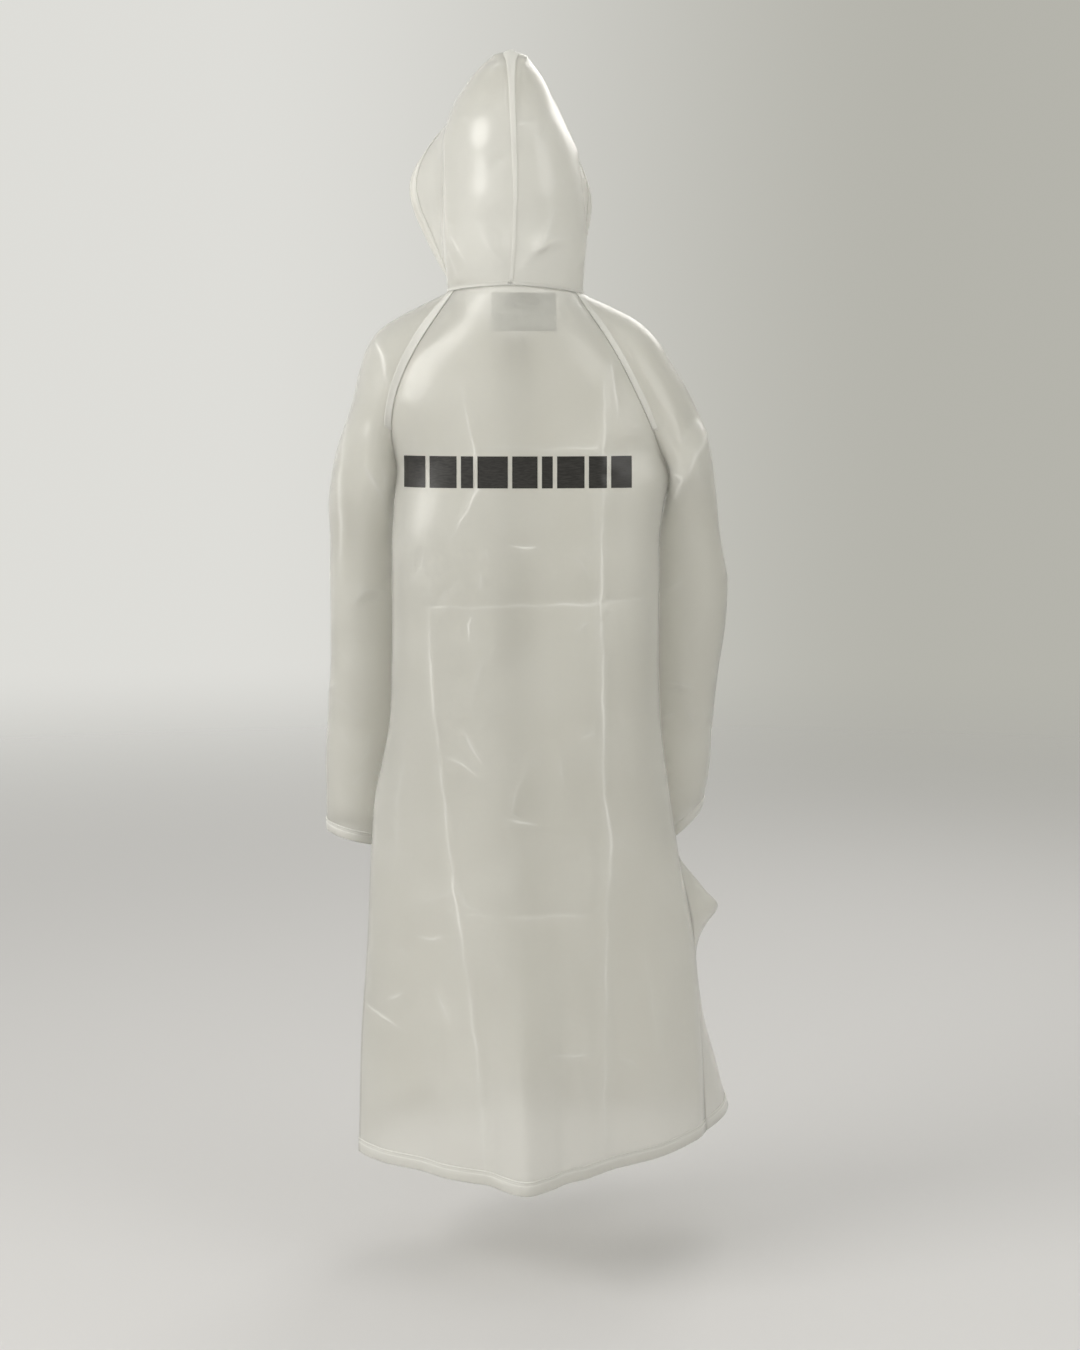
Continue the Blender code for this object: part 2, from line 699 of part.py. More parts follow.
FILM = finish("frosted film", FILM_COLOUR, 0.4, 0.6)
HEM = finish("welded film", HEM_COLOUR, 0.45, 0.8)
BACK, LEFT_FRONT = make_body(FILM, HEM)
make_sleeves(FILM, HEM)
make_hood(FILM, HEM)
make_label(BACK, finish("label", LABEL_COLOUR, 0.6))
make_snaps(LEFT_FRONT, body_levels(), finish("snap", SNAP_COLOUR, 0.35))
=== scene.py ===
"""A long hooded raincoat of frosted film with raglan sleeves, worn and hollow.

Metres, +Z up. The coat faces -Y, so the wearer's left is +X, and the camera looks at its back.
"""

import math
from collections import namedtuple

import bmesh
import bpy
import numpy as np
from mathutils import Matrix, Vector
from mathutils.bvhtree import BVHTree


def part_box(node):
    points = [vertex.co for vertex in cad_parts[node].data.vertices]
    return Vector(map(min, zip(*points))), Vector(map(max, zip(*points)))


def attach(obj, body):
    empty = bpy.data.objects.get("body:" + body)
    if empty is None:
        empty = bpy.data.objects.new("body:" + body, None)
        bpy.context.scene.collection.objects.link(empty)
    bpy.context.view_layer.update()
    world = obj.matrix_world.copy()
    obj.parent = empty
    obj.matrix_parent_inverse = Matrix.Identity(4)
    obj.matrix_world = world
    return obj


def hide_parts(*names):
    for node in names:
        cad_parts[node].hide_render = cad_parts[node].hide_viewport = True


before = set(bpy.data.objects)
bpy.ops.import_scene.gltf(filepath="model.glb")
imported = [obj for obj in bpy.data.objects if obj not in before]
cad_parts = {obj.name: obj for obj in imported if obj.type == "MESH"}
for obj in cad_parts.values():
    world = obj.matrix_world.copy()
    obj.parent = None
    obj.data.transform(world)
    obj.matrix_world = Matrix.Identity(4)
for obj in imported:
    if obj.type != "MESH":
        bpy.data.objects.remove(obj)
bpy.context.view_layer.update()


# ------------------------------------------------------------------------------- the studio
# A wide pale floor that fades into an even pale grey room, a large soft lamp on each side and a
# third before the coat, and a camera at chest height that looks slightly down at its back.
FLOOR_LEVEL = -1.42
FLOOR_RADIUS = 14.0
FLOOR_SIDES = 96
FLOOR_FADES = (2.2, 8.0)  # from full to gone, metres from the coat
FLOOR_PATCHES = 2.2  # how many of its largest paler and darker patches lie across it
FLOOR_COLOURS = ((0.61, 0.60, 0.60, 1.0), (0.67, 0.66, 0.66, 1.0))
ROOM_LIGHT_SIDE = (0.73, 0.725, 0.69, 1.0)
ROOM_DARK_SIDE = (0.46, 0.455, 0.41, 1.0)
ROOM_TURNS = (-0.16, 0.13)  # from the dark side to the light one, as a direction's x
ROOM_TOP = (0.60, 0.60, 0.57, 1.0)
ROOM_TOP_STARTS = (0.15, 0.8)  # from the sides to the top, as a direction's z
BOUNCES = 8

CAMERA_PLACE = (-0.0314, 3.5, -0.12)
CAMERA_TILT = math.atan(293 / 2450)  # down from level: its aim falls 293 mm in 2.45 m
CAMERA_LENS = 65.33  # mm, on Blender's 36 mm sensor over the frame's long side

Lamp = namedtuple("Lamp", "name place size power colour")
LAMPS = [
    Lamp("key_lamp", (2.9, 1.7, 1.3), 2.4, 80, (1.0, 0.985, 0.95)),
    Lamp("fill_lamp", (-2.8, 1.9, 1.0), 2.4, 28, (1.0, 0.99, 0.97)),
    Lamp("rim_lamp", (-1.2, -2.8, 1.6), 2.0, 24, (1.0, 0.985, 0.95)),
]
LAMP_AIM = (0, 0, -0.5)
NOISE_SPREAD = (0.3, 0.7)  # nearly all the values of a noise texture lie between these


class Shade:
    """One output in a node tree. Arithmetic on it adds the Math nodes that it needs."""

    def __init__(self, tree, socket=None):
        self.tree = tree
        self.socket = socket

    def node(self, kind, settings=(), inputs=(), output=0):
        """Adds a node, with its settings first and then its sockets, and gives one output."""
        made = self.tree.nodes.new(kind)
        for name, value in dict(settings).items():
            setattr(made, name, value)
        for name, value in dict(inputs).items():
            if isinstance(value, Shade):
                self.tree.links.new(value.socket, made.inputs[name])
            else:
                made.inputs[name].default_value = value
        return Shade(self.tree, made.outputs[output]) if made.outputs else made

    def maths(self, operation, *others):
        inputs = dict(enumerate((self, *others)))
        return self.node("ShaderNodeMath", {"operation": operation}, inputs)

    def between(self, low, high, from_value=0.0, to_value=1.0):
        """A smooth step from one value to the other as this goes from low to high."""
        inputs = {"Value": self, "From Min": low, "From Max": high}
        inputs.update({"To Min": from_value, "To Max": to_value})
        return self.node("ShaderNodeMapRange", {"interpolation_type": "SMOOTHSTEP"}, inputs)

    def mixed(self, first, second):
        """A colour that goes from the first to the second as this goes from 0 to 1."""
        # A Mix node's colour sockets are its seventh and eighth, and its third output.
        inputs = {0: self, 6: first, 7: second}
        return self.node("ShaderNodeMix", {"data_type": "RGBA"}, inputs, output=2)

    def __add__(self, other):
        return self.maths("ADD", other)

    def __mul__(self, other):
        return self.maths("MULTIPLY", other)

    __radd__ = __add__
    __rmul__ = __mul__


def empty_tree(holder):
    """The node tree of a new material or world, emptied."""
    holder.use_nodes = True
    holder.node_tree.nodes.clear()
    return Shade(holder.node_tree)


room = bpy.data.worlds.new("even_room")
air = empty_tree(room)
direction = air.node("ShaderNodeTexCoord", output="Generated")
sideways = air.node("ShaderNodeSeparateXYZ", inputs={"Vector": direction}, output="X")
upward = air.node("ShaderNodeSeparateXYZ", inputs={"Vector": direction}, output="Z")
walls = sideways.between(*ROOM_TURNS).mixed(ROOM_DARK_SIDE, ROOM_LIGHT_SIDE)
room_colour = upward.between(*ROOM_TOP_STARTS).mixed(walls, ROOM_TOP)
sky = air.node("ShaderNodeBackground", inputs={"Color": room_colour})
air.node("ShaderNodeOutputWorld", inputs={"Surface": sky})
bpy.context.scene.world = room

floor_mesh = bpy.data.meshes.new("studio_floor")
disc = bmesh.new()
bmesh.ops.create_circle(disc, cap_ends=True, segments=FLOOR_SIDES, radius=FLOOR_RADIUS)
disc.to_mesh(floor_mesh)
disc.free()
floor = bpy.data.objects.new("studio_floor", floor_mesh)
floor.location.z = FLOOR_LEVEL
bpy.context.scene.collection.objects.link(floor)
floor_paint = bpy.data.materials.new("studio_floor")
paint = empty_tree(floor_paint)
place = paint.node("ShaderNodeTexCoord", output="Object")
from_coat = paint.node("ShaderNodeVectorMath", {"operation": "LENGTH"}, {0: place}, "Value")
over_floor = {"Vector": place, "Location": (0.5,) * 3, "Scale": (0.5 / FLOOR_RADIUS,) * 3}
width_shares = paint.node("ShaderNodeMapping", inputs=over_floor)
patch_sizes = {"Vector": width_shares, "Scale": FLOOR_PATCHES, "Detail": 3.0}
patches = paint.node("ShaderNodeTexNoise", inputs=patch_sizes)
floor_shader = paint.node(
    "ShaderNodeBsdfPrincipled",
    inputs={
        "Base Color": patches.between(*NOISE_SPREAD).mixed(*FLOOR_COLOURS),
        "Roughness": 0.6,
        "Alpha": from_coat.between(*FLOOR_FADES, 1.0, 0.0),
    },
)
paint.node("ShaderNodeOutputMaterial", inputs={"Surface": floor_shader})
floor_mesh.materials.append(floor_paint)

for lamp in LAMPS:
    light = bpy.data.lights.new(lamp.name, "AREA")
    light.shape = "DISK"
    light.size = lamp.size
    light.energy = lamp.power
    light.color = lamp.colour
    holder = bpy.data.objects.new(lamp.name, light)
    holder.location = lamp.place
    aim = Vector(LAMP_AIM) - Vector(lamp.place)
    holder.rotation_euler = aim.to_track_quat("-Z", "Y").to_euler()
    holder.visible_camera = False
    bpy.context.scene.collection.objects.link(holder)

camera = bpy.data.objects.new("camera", bpy.data.cameras.new("camera"))
camera.location = CAMERA_PLACE
camera.rotation_euler = (math.pi / 2 - CAMERA_TILT, 0, math.pi)
camera.data.lens = CAMERA_LENS
bpy.context.scene.collection.objects.link(camera)
bpy.context.scene.camera = camera
bpy.context.scene.view_settings.view_transform = "Standard"
bpy.context.scene.cycles.max_bounces = BOUNCES
bpy.context.scene.cycles.transmission_bounces = BOUNCES
bpy.context.scene.cycles.transparent_max_bounces = BOUNCES


# --------------------------------------------------------------------------- the back panel
# One large piece of soft frosted film, cut as a trapeze that widens to the hem. It came out of
# its packet folded flat, so two long upright fold lines and some level ones cross it. Like every
# other piece of the coat, it is a smooth surface through the points of its CAD wall.
FILM_WALL = 0.0008
RIM_WIDTH = 0.0024  # a CAD wall's rim is narrower than this, and its skins' triangles are wider
BACK_STEP = 0.005
PANEL_REACH = 0.0008  # closes the CAD walls' gap at the side and raglan seams
SEAM_HOLD = 0.014  # a seam keeps the film beside it flat over this width
FAR = 1.0
FAR_IN_WIDTHS = 30  # a crease has no height left at this many of its widths
LINE_WANDER = 0.0009  # how far a fold line strays from its straight course
LINE_REACH = 0.012  # how far from a crease its own fine line can lie
LINE_FADE = 0.006  # the last part of that, over which the line fades
FACING_START, FACING_SPAN = 0.05, 0.4  # a crease grows as the film turns to the crease's side
ROUNDING = 1e-6
JOINED = 1e-5  # points closer than this become one

# A sine wave through space: its size, its radians a metre along x, y and z, and its start.
Wave = namedtuple("Wave", "size x y z start")
WANDER_WAVES = [Wave(1.0, 83, 40, 61, 0.0), Wave(0.7, -119, 0, 143, 1.7)]
# A fold line's whiteness is a painted highlight, the light that the sharp fold catches.
LINE_STRENGTH = 0.74  # of a fold line on average; these waves make it uneven
LINE_WAVES = [Wave(0.26, 47, 0, 33, 0.8), Wave(0.20, -107, 0, 131, 0.0)]
SWELL_WAVES = [
    Wave(0.0005, 31, 9, 17, 0.0),
    Wave(0.0005, -23, 14, 29, 1.3),
    Wave(0.0005, 52, 37, -9, 2.1),
    Wave(0.0003, 11, -23, 71, 0.4),
]

# A side of the coat: the axis across it, the axis that it faces along, and which way.
Face = namedtuple("Face", "across facing sign")
FACES = {
    "back": Face(0, 1, 1),
    "front": Face(0, 1, -1),
    "left": Face(1, 0, 1),
    "right": Face(1, 0, -1),
}
# A crease's line has an x (or a y, on the left and right faces), a z and a strength at each point.
Crease = namedtuple("Crease", "face width height line_share line")


def creases_on(face, rows):
    """Creases on one side, each from its width, height, line share and line."""
    return [Crease(face, *row) for row in rows]


BODY_CREASES = creases_on("back", [
    (0.004, 0.0014, 0.8, [(0.077, -0.131, 0.2), (0.060, -0.213, 1), (0.063, -0.26, 0)]),
    (0.005, 0.0022, 0.7,
     [(0.123, -0.390, 0), (0.122, -0.514, 0.8), (0.109, -0.651, 0.5), (0.094, -0.787, 0.9),
      (0.084, -0.860, 1), (0.070, -0.960, 0.5), (0.055, -1.090, 0.8), (0.045, -1.239, 0.4)]),
    (0.005, 0.0024, 1.0,
     [(-0.121, -0.097, 0.3), (-0.119, -0.200, 1), (-0.117, -0.345, 0.7), (-0.116, -0.421, 1),
      (-0.119, -0.547, 0.8), (-0.121, -0.703, 0.9), (-0.131, -0.751, 1), (-0.125, -0.864, 0.7),
      (-0.124, -1.060, 0.5), (-0.123, -1.240, 0.3)]),
    (0.003, 0.0008, 0.7, [(-0.111, -0.21, 0.3), (-0.110, -0.32, 1), (-0.111, -0.44, 0)]),
    (0.004, 0.0020, 0.9,
     [(-0.120, -0.130, 0.3), (-0.130, -0.098, 1), (-0.136, -0.145, 1), (-0.139, -0.185, 0)]),
    (0.004, 0.0014, 0.8, [(0.068, -0.208, 0), (-0.05, -0.212, 0.5), (-0.13, -0.209, 1)]),
    (0.005, -0.0022, 1.0,
     [(0.125, -0.431, 0.5), (0.04, -0.430, 0.2), (-0.004, -0.428, 0.4), (-0.08, -0.427, 0.7),
      (-0.115, -0.426, 1), (-0.186, -0.42, 0)]),
    (0.006, -0.0019, 0.8,
     [(0.09, -0.861, 0.7), (0.04, -0.863, 0.2), (-0.017, -0.865, 0.4), (-0.13, -0.865, 0.5)]),
    (0.004, 0.0011, 1.0, [(-0.04, -1.062, 0), (-0.085, -1.068, 1), (-0.115, -1.073, 0)]),
    (0.006, -0.0019, 0.6, [(0.225, -1.022, 0.8), (0.190, -1.035, 0.8), (0.15, -1.05, 0)]),
    (0.004, 0.0016, 0.9, [(0.052, -0.264, 1), (0.070, -0.300, 0.8), (0.096, -0.344, 0)]),
    (0.006, 0.0014, 0.5, [(-0.135, -0.751, 0.8), (-0.16, -0.78, 0.6), (-0.19, -0.80, 0)]),
    (0.006, 0.0016, 0.5, [(0.088, -0.83, 0.8), (0.12, -0.845, 0.6), (0.16, -0.855, 0)]),
    (0.005, 0.0014, 0.5, [(0.02, -0.47, 0), (0.055, -0.52, 0.8), (0.07, -0.585, 0)]),
    (0.005, 0.0014, 0.4, [(-0.02, -0.64, 0), (0.005, -0.69, 0.8), (0.012, -0.76, 0)]),
    (0.006, 0.0016, 0.4, [(0.155, -0.60, 0), (0.168, -0.70, 0.9), (0.175, -0.82, 0)]),
    (0.006, 0.0015, 0.4, [(-0.175, -0.88, 0), (-0.19, -0.99, 0.9), (-0.205, -1.10, 0)]),
])

# Small creases spread over a part of one side, none longer than the length.
Spread = namedtuple("Spread", "face count seed left right low high length")
SMALL_LENGTHS = (0.3, 0.8)  # shares of that length
SMALL_BOW = 0.3  # how far the middle of one lies off its line, as a share of half its length
SMALL_WIDTHS = (0.004, 0.008)
SMALL_HEIGHTS = (0.0008, 0.0022)
SMALL_LINE_SHARES = (0.25, 0.75)
BODY_SPREADS = [
    Spread("back", 12, 3, -0.15, 0.15, -0.50, -0.30, 0.08),
    Spread("back", 16, 5, -0.18, 0.18, -1.10, -0.55, 0.10),
    Spread("back", 6, 8, -0.16, -0.09, -0.30, -0.08, 0.06),
]


def small_creases(spreads):
    """Short shallow creases from handling, at random places and angles."""
    creases = []
    for spread in spreads:
        chance = np.random.default_rng(spread.seed)
        for _ in range(spread.count):
            x = chance.uniform(spread.left, spread.right)
            z = chance.uniform(spread.low, spread.high)
            angle = chance.uniform(0, math.pi)
            half = chance.uniform(*SMALL_LENGTHS) * spread.length / 2
            bow = chance.uniform(-SMALL_BOW, SMALL_BOW) * half
            cos, sin = math.cos(angle), math.sin(angle)
            line = [
                (x - cos * half, z - sin * half, 0),
                (x - sin * bow, z + cos * bow, 1),
                (x + cos * half, z + sin * half, 0),
            ]
            height = chance.choice((-1, 1)) * chance.uniform(*SMALL_HEIGHTS)
            width = chance.uniform(*SMALL_WIDTHS)
            creases.append(Crease(spread.face, width, height, chance.uniform(*SMALL_LINE_SHARES), line))
    return creases


BODY_CREASES += small_creases(BODY_SPREADS)


def outer_grid(node, start):
    """The points of a CAD wall's outer skin, row by row, from its lowest or highest end edge.

    The skin is a grid of cells with two triangles each. The columns run from left to right
    when the first row is at the bottom, seen from outside.
    """
    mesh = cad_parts[node].data
    places = np.zeros(len(mesh.vertices) * 3, np.float32)
    mesh.vertices.foreach_get("co", places)
    triangles = np.zeros(len(mesh.polygons) * 3, np.int32)
    mesh.polygons.foreach_get("vertices", triangles)
    # Corners that agree to a micrometre are one point.
    points, same = np.unique(places.reshape(-1, 3).round(6), axis=0, return_inverse=True)
    faces = same.ravel()[triangles.reshape(-1, 3)]
    corners = points[faces]
    edges = corners - np.roll(corners, 1, axis=1)
    normals = np.cross(edges[:, 1], edges[:, 2])
    width = np.linalg.norm(normals, axis=1) / np.linalg.norm(edges, axis=2).max(axis=1)

    beside = {}
    for i in np.nonzero(width > RIM_WIDTH)[0]:
        a, b, c = faces[i].tolist()
        beside[a, b], beside[b, c], beside[c, a] = i, i, i
    skins, unmet = [], set(beside.values())
    while unmet:
        skin, reached = [], [unmet.pop()]
        while reached:
            i = reached.pop()
            skin.append(i)
            a, b, c = faces[i].tolist()
            found = {beside.get(edge) for edge in ((b, a), (c, b), (a, c))} & unmet
            unmet -= found
            reached += found
        skins.append(np.array(skin))
    middles = corners.mean(axis=1)

    def faces_out(skin):
        return (normals[skin] * (middles[skin] - middles[skin].mean(axis=0))).sum()

    skin = faces[max(skins, key=faces_out)].tolist()
    third = {}
    for a, b, c in skin:
        third[a, b], third[b, c], third[c, a] = c, a, b
    edge_after = {a: b for a, b in third if (b, a) not in third}
    uses = np.bincount(np.ravel(skin), minlength=len(points))
    # A corner of the grid belongs to one or two triangles, and a point along its edge to three.
    ends = [vertex for vertex in edge_after if uses[vertex] <= 2]
    sides = []
    for vertex in ends:
        side = [vertex, edge_after[vertex]]
        while side[-1] not in ends:
            side.append(edge_after[side[-1]])
        sides.append(side)
    pick = min if start == "lowest" else max
    row = pick(sides, key=lambda side: points[side, 2].mean())
    leans_back = edge_after.get(third[row[0], row[1]]) == row[0]
    rows = [row]
    while (row[0], row[1]) in third:
        pairs = []
        for a, b in zip(row, row[1:]):
            top = third[a, b]
            pairs.append((top, third[top, b]) if leans_back else (third[a, top], top))
        row = [pairs[0][0]] + [right for _, right in pairs]
        rows.append(row)
    return points[np.array(rows)].astype(float)


def through(knots, values, at, closed=None):
    """Values on a smooth curve through each knot. The closed ones join up at their ends."""
    steps = np.diff(knots).reshape(-1, *[1] * (values.ndim - 1))
    slopes = np.diff(values, axis=0) / steps
    inner = (slopes[1:] * steps[:-1] + slopes[:-1] * steps[1:]) / (steps[1:] + steps[:-1])
    tangents = np.concatenate([slopes[:1], inner, slopes[-1:]])
    if closed is not None:
        joined = (slopes[0] + slopes[-1]) / 2
        tangents[0][closed] = joined[closed]
        tangents[-1][closed] = joined[closed]
    i = np.clip(np.searchsorted(knots, at, side="right") - 1, 0, len(knots) - 2)
    t = ((at - knots[i]) / np.diff(knots)[i]).reshape(-1, *[1] * (values.ndim - 1))
    return (
        (2 * t**3 - 3 * t**2 + 1) * values[i]
        + (t**3 - 2 * t**2 + t) * steps[i] * tangents[i]
        + (3 * t**2 - 2 * t**3) * values[i + 1]
        + (t**3 - t**2) * steps[i] * tangents[i + 1]
    )


def finer(knots, step):
    """The knots, with even steps between them that are no longer than the one given."""
    cells = [
        np.linspace(a, b, math.ceil((b - a) / step - ROUNDING) or 1, endpoint=False)
        for a, b in zip(knots, knots[1:])
    ]
    return np.append(np.concatenate(cells), knots[-1])


def smooth(share):
    """0 to 1, with a soft start and end."""
    share = np.clip(share, 0, 1)
    return share * share * (3 - 2 * share)


def waved(points, waves):
    """The sum of the waves at each point."""
    return sum(wave.size * np.sin(points @ (wave.x, wave.y, wave.z) + wave.start) for wave in waves)


def relief(points, normals, creases):
    """How far the creases lift the film at each point, and where their fine lines run.

    The second value is the distance to the crease whose line shows most there, with a sign that
    changes across it, so that the line lies where it is nil. The third is that line's strength.
    """
    height, strongest = np.zeros(points.shape[:-1]), np.zeros(points.shape[:-1])
    nearest = np.full(points.shape[:-1], FAR)
    wander = LINE_WANDER * waved(points, WANDER_WAVES)
    uneven = LINE_STRENGTH + waved(points, LINE_WAVES)
    for crease in creases:
        face = FACES[crease.face]
        seen = points[..., [face.across, 2]] + wander[..., None]
        line = np.array(crease.line)
        distance, strength = np.full(height.shape, FAR), np.zeros(height.shape)
        for start, end in zip(line, line[1:]):
            run = end[:2] - start[:2]
            beyond = seen - start[:2]
            t = np.clip(beyond @ run / (run @ run), 0, 1)
            side = beyond[..., 0] * run[1] - beyond[..., 1] * run[0]
            gap = np.linalg.norm(beyond - t[..., None] * run, axis=-1)
            nearer = gap < abs(distance)
            distance = np.where(nearer, np.where(side < 0, -gap, gap), distance)
            strength = np.where(nearer, start[2] + t * (end[2] - start[2]), strength)
        turned = face.sign * normals[..., face.facing]
        strength = strength * smooth((turned - FACING_START) / FACING_SPAN)
        height += crease.height * strength / np.cosh(np.minimum(distance / crease.width, FAR_IN_WIDTHS))
        # How strongly this crease's painted highlight line shows here.
        shown = crease.line_share * uneven * smooth((LINE_REACH - abs(distance)) / LINE_FADE)
        strength = strength * shown
        stronger = strength > strongest
        nearest = np.where(stronger, distance, nearest)
        strongest = np.where(stronger, strength, strongest)
    return height, nearest, strongest


def facing(points):
    """The unit normals of a grid of points."""
    normals = np.cross(np.gradient(points, axis=1), np.gradient(points, axis=0))
    return normals / np.maximum(np.linalg.norm(normals, axis=-1, keepdims=True), 1e-12)


# A part of a piece of film: its grid of points, what relief() says of them, and their places.
Patch = namedtuple("Patch", "points nearest strongest up across")


class Film:
    """One piece of film. Places on it are metres up its rows and across its columns."""

    def __init__(self, node, start, creases, held_rows=(False, True)):
        self.node = node
        self.knots = outer_grid(node, start)
        self.creases = creases
        self.held_rows = held_rows
        self.closed = np.linalg.norm(self.knots[:, 0] - self.knots[:, -1], axis=1) < ROUNDING
        self.up, self.across = (
            np.append(0, np.cumsum(np.linalg.norm(np.diff(self.knots, axis=a), axis=2).mean(1 - a)))
            for a in (0, 1)
        )

    def patch(self, up, across, lift=0.0):
        """A part of the film, lifted off it, at the given places up and across it."""
        rows = through(self.across, np.moveaxis(self.knots, 1, 0), across, self.closed)
        points = through(self.up, np.moveaxis(rows, 1, 0), up)
        normals = facing(points)
        held = np.minimum(across - self.across[0], self.across[-1] - across)
        hold = np.broadcast_to(smooth(held / SEAM_HOLD), points.shape[:2])
        hold = np.where(self.ring(up)[:, None], 1.0, hold)
        for is_held, distance in zip(self.held_rows, (up, self.up[-1] - up)):
            if is_held:
                hold = hold * smooth(distance / SEAM_HOLD)[:, None]
        height, nearest, strongest = relief(points, normals, self.creases)
        lift = (height + waved(points, SWELL_WAVES)) * hold + lift
        return Patch(points + lift[..., None] * normals, nearest, strongest * hold, up, across)

    def ring(self, up):
        """Which of the places up the film lie where it closes to a tube."""
        if not self.closed.any():
            return np.zeros(len(up), bool)
        return up > self.up[self.closed.argmax()] + SEAM_HOLD

    def whole(self, name, finish, step, reach=(0, 0, 0, 0)):
        """The whole piece, which stands for its CAD wall.

        Its four edges reach this much further, so that they meet at the seams: the lowest or
        highest row, the last row, the first column and the last one.
        """
        up, across = finer(self.up, step), finer(self.across, step)
        up[0], up[-1] = up[0] - reach[0], up[-1] + reach[1]
        across[0], across[-1] = across[0] - reach[2], across[-1] + reach[3]
        patch = self.patch(up, across)
        piece = film_piece(name, finish, [patch], FILM_WALL)
        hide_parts(self.node)
        return piece


def film_piece(name, finish, patches, wall):
    """Patches of film as one piece, a thin shell where it has a wall.

    A patch's places up and across it are its UV map.
    """
    merged = bmesh.new()
    cut = merged.loops.layers.uv.new("cut")
    nearest = merged.verts.layers.float.new("nearest")
    strongest = merged.verts.layers.float.new("strongest")
    for patch in patches:
        rows, cols = patch.points.shape[:2]
        verts = []
        for r in range(rows):
            line = []
            for c in range(cols):
                vert = merged.verts.new(patch.points[r, c])
                vert[nearest] = patch.nearest[r, c]
                vert[strongest] = patch.strongest[r, c]
                line.append(vert)
            verts.append(line)
        for r in range(rows - 1):
            for c in range(cols - 1):
                corners = ((r, c), (r, c + 1), (r + 1, c + 1), (r + 1, c))
                face = merged.faces.new([verts[i][j] for i, j in corners])
                for loop, (i, j) in zip(face.loops, corners):
                    loop[cut].uv = (patch.across[j], patch.up[i])
    bmesh.ops.remove_doubles(merged, verts=merged.verts, dist=JOINED)
    mesh = bpy.data.meshes.new(name)
    merged.to_mesh(mesh)
    merged.free()
    mesh.shade_smooth()
    mesh.materials.append(finish)
    piece = bpy.data.objects.new(name, mesh)
    bpy.context.scene.collection.objects.link(piece)
    if wall:
        shell = piece.modifiers.new("wall", "SOLIDIFY")
        shell.thickness = wall
        shell.offset = -1
    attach(piece, "root")
    return piece


# The film's colour, its roughness and its milk, the share of the light that it scatters, are
# cloudy. Its fine lines, on sharp folds and along the welds, are whiter and milkier: on the folds
# this is a painted highlight, the light that the folds catch, and along the welds it is the
# pressed film's own whiteness.
LINE_WHITE_AND_HIGHLIGHT_COLOUR = (1.0, 1.0, 0.98, 1.0)
LINE_EDGE = (0.0003, 0.0021)  # full up to the first distance from its middle, gone at the second
GLOW_REACH, GLOW_SHARE = 0.010, 0.26  # a fainter whiteness beside the line
MILK_COLOUR = (0.98, 0.975, 0.94, 1.0)
MILK_LETS_THROUGH = 0.35
CLOUD_MILK = (-0.02, 0.03)
CLOUD_ROUGHNESS = (-0.05, 0.05)


def film_finish(name, pale, deep, clear, roughness, milk_share, line_milk_and_highlight):
    """Frosted film: light passes through and is scattered, more along the fine lines (a painted highlight
    on folds).
    """
    material = bpy.data.materials.new(name)
    tree = empty_tree(material)
    place = tree.node("ShaderNodeTexCoord", output="Object")
    clouds = tree.node("ShaderNodeTexNoise", inputs={"Vector": place, "Scale": 8.0, "Detail": 2.0})
    nearest = tree.node("ShaderNodeAttribute", {"attribute_name": "nearest"}, output="Fac")
    strongest = tree.node("ShaderNodeAttribute", {"attribute_name": "strongest"}, output="Fac")
    # The fine lines and the fainter whiteness beside them: a painted highlight on folds, pressed
    # whiteness along welds.
    line = nearest.maths("ABSOLUTE").between(*LINE_EDGE, 1.0, 0.0)
    glow = nearest.maths("ABSOLUTE").between(0.0, GLOW_REACH, GLOW_SHARE, 0.0)
    shown = (line + glow) * strongest
    colour = shown.mixed(clouds.between(*NOISE_SPREAD).mixed(deep, pale), LINE_WHITE_AND_HIGHLIGHT_COLOUR)
    rough = clouds.between(*NOISE_SPREAD, *(roughness + change for change in CLOUD_ROUGHNESS))
    share = clouds.between(*NOISE_SPREAD, *(milk_share + change for change in CLOUD_MILK))
    film = tree.node(
        "ShaderNodeBsdfPrincipled",
        inputs={
            "Base Color": colour,
            "Roughness": rough,
            "IOR": 1.40,
            "Transmission Weight": clear,
            "Coat Weight": 0.5,
            "Coat Roughness": 0.2,
        },
    )
    white = tree.node("ShaderNodeBsdfDiffuse", inputs={"Color": MILK_COLOUR})
    glowing = tree.node("ShaderNodeBsdfTranslucent", inputs={"Color": MILK_COLOUR})
    milk = tree.node("ShaderNodeMixShader", inputs={0: MILK_LETS_THROUGH, 1: white, 2: glowing})
    mixed = tree.node("ShaderNodeMixShader", inputs={0: shown * line_milk_and_highlight + share, 1: film, 2: milk})
    tree.node("ShaderNodeOutputMaterial", inputs={"Surface": mixed})
    return material


frosted = film_finish(
    "frosted_film",
    pale=(0.965, 0.957, 0.915, 1.0),
    deep=(0.942, 0.932, 0.885, 1.0),
    clear=0.86,
    roughness=0.38,
    milk_share=0.12,
    line_milk_and_highlight=0.75,
)
back = Film("back_panel", "lowest", BODY_CREASES)
film_back = back.whole("film_back", frosted, BACK_STEP, (0, 0, PANEL_REACH, PANEL_REACH))


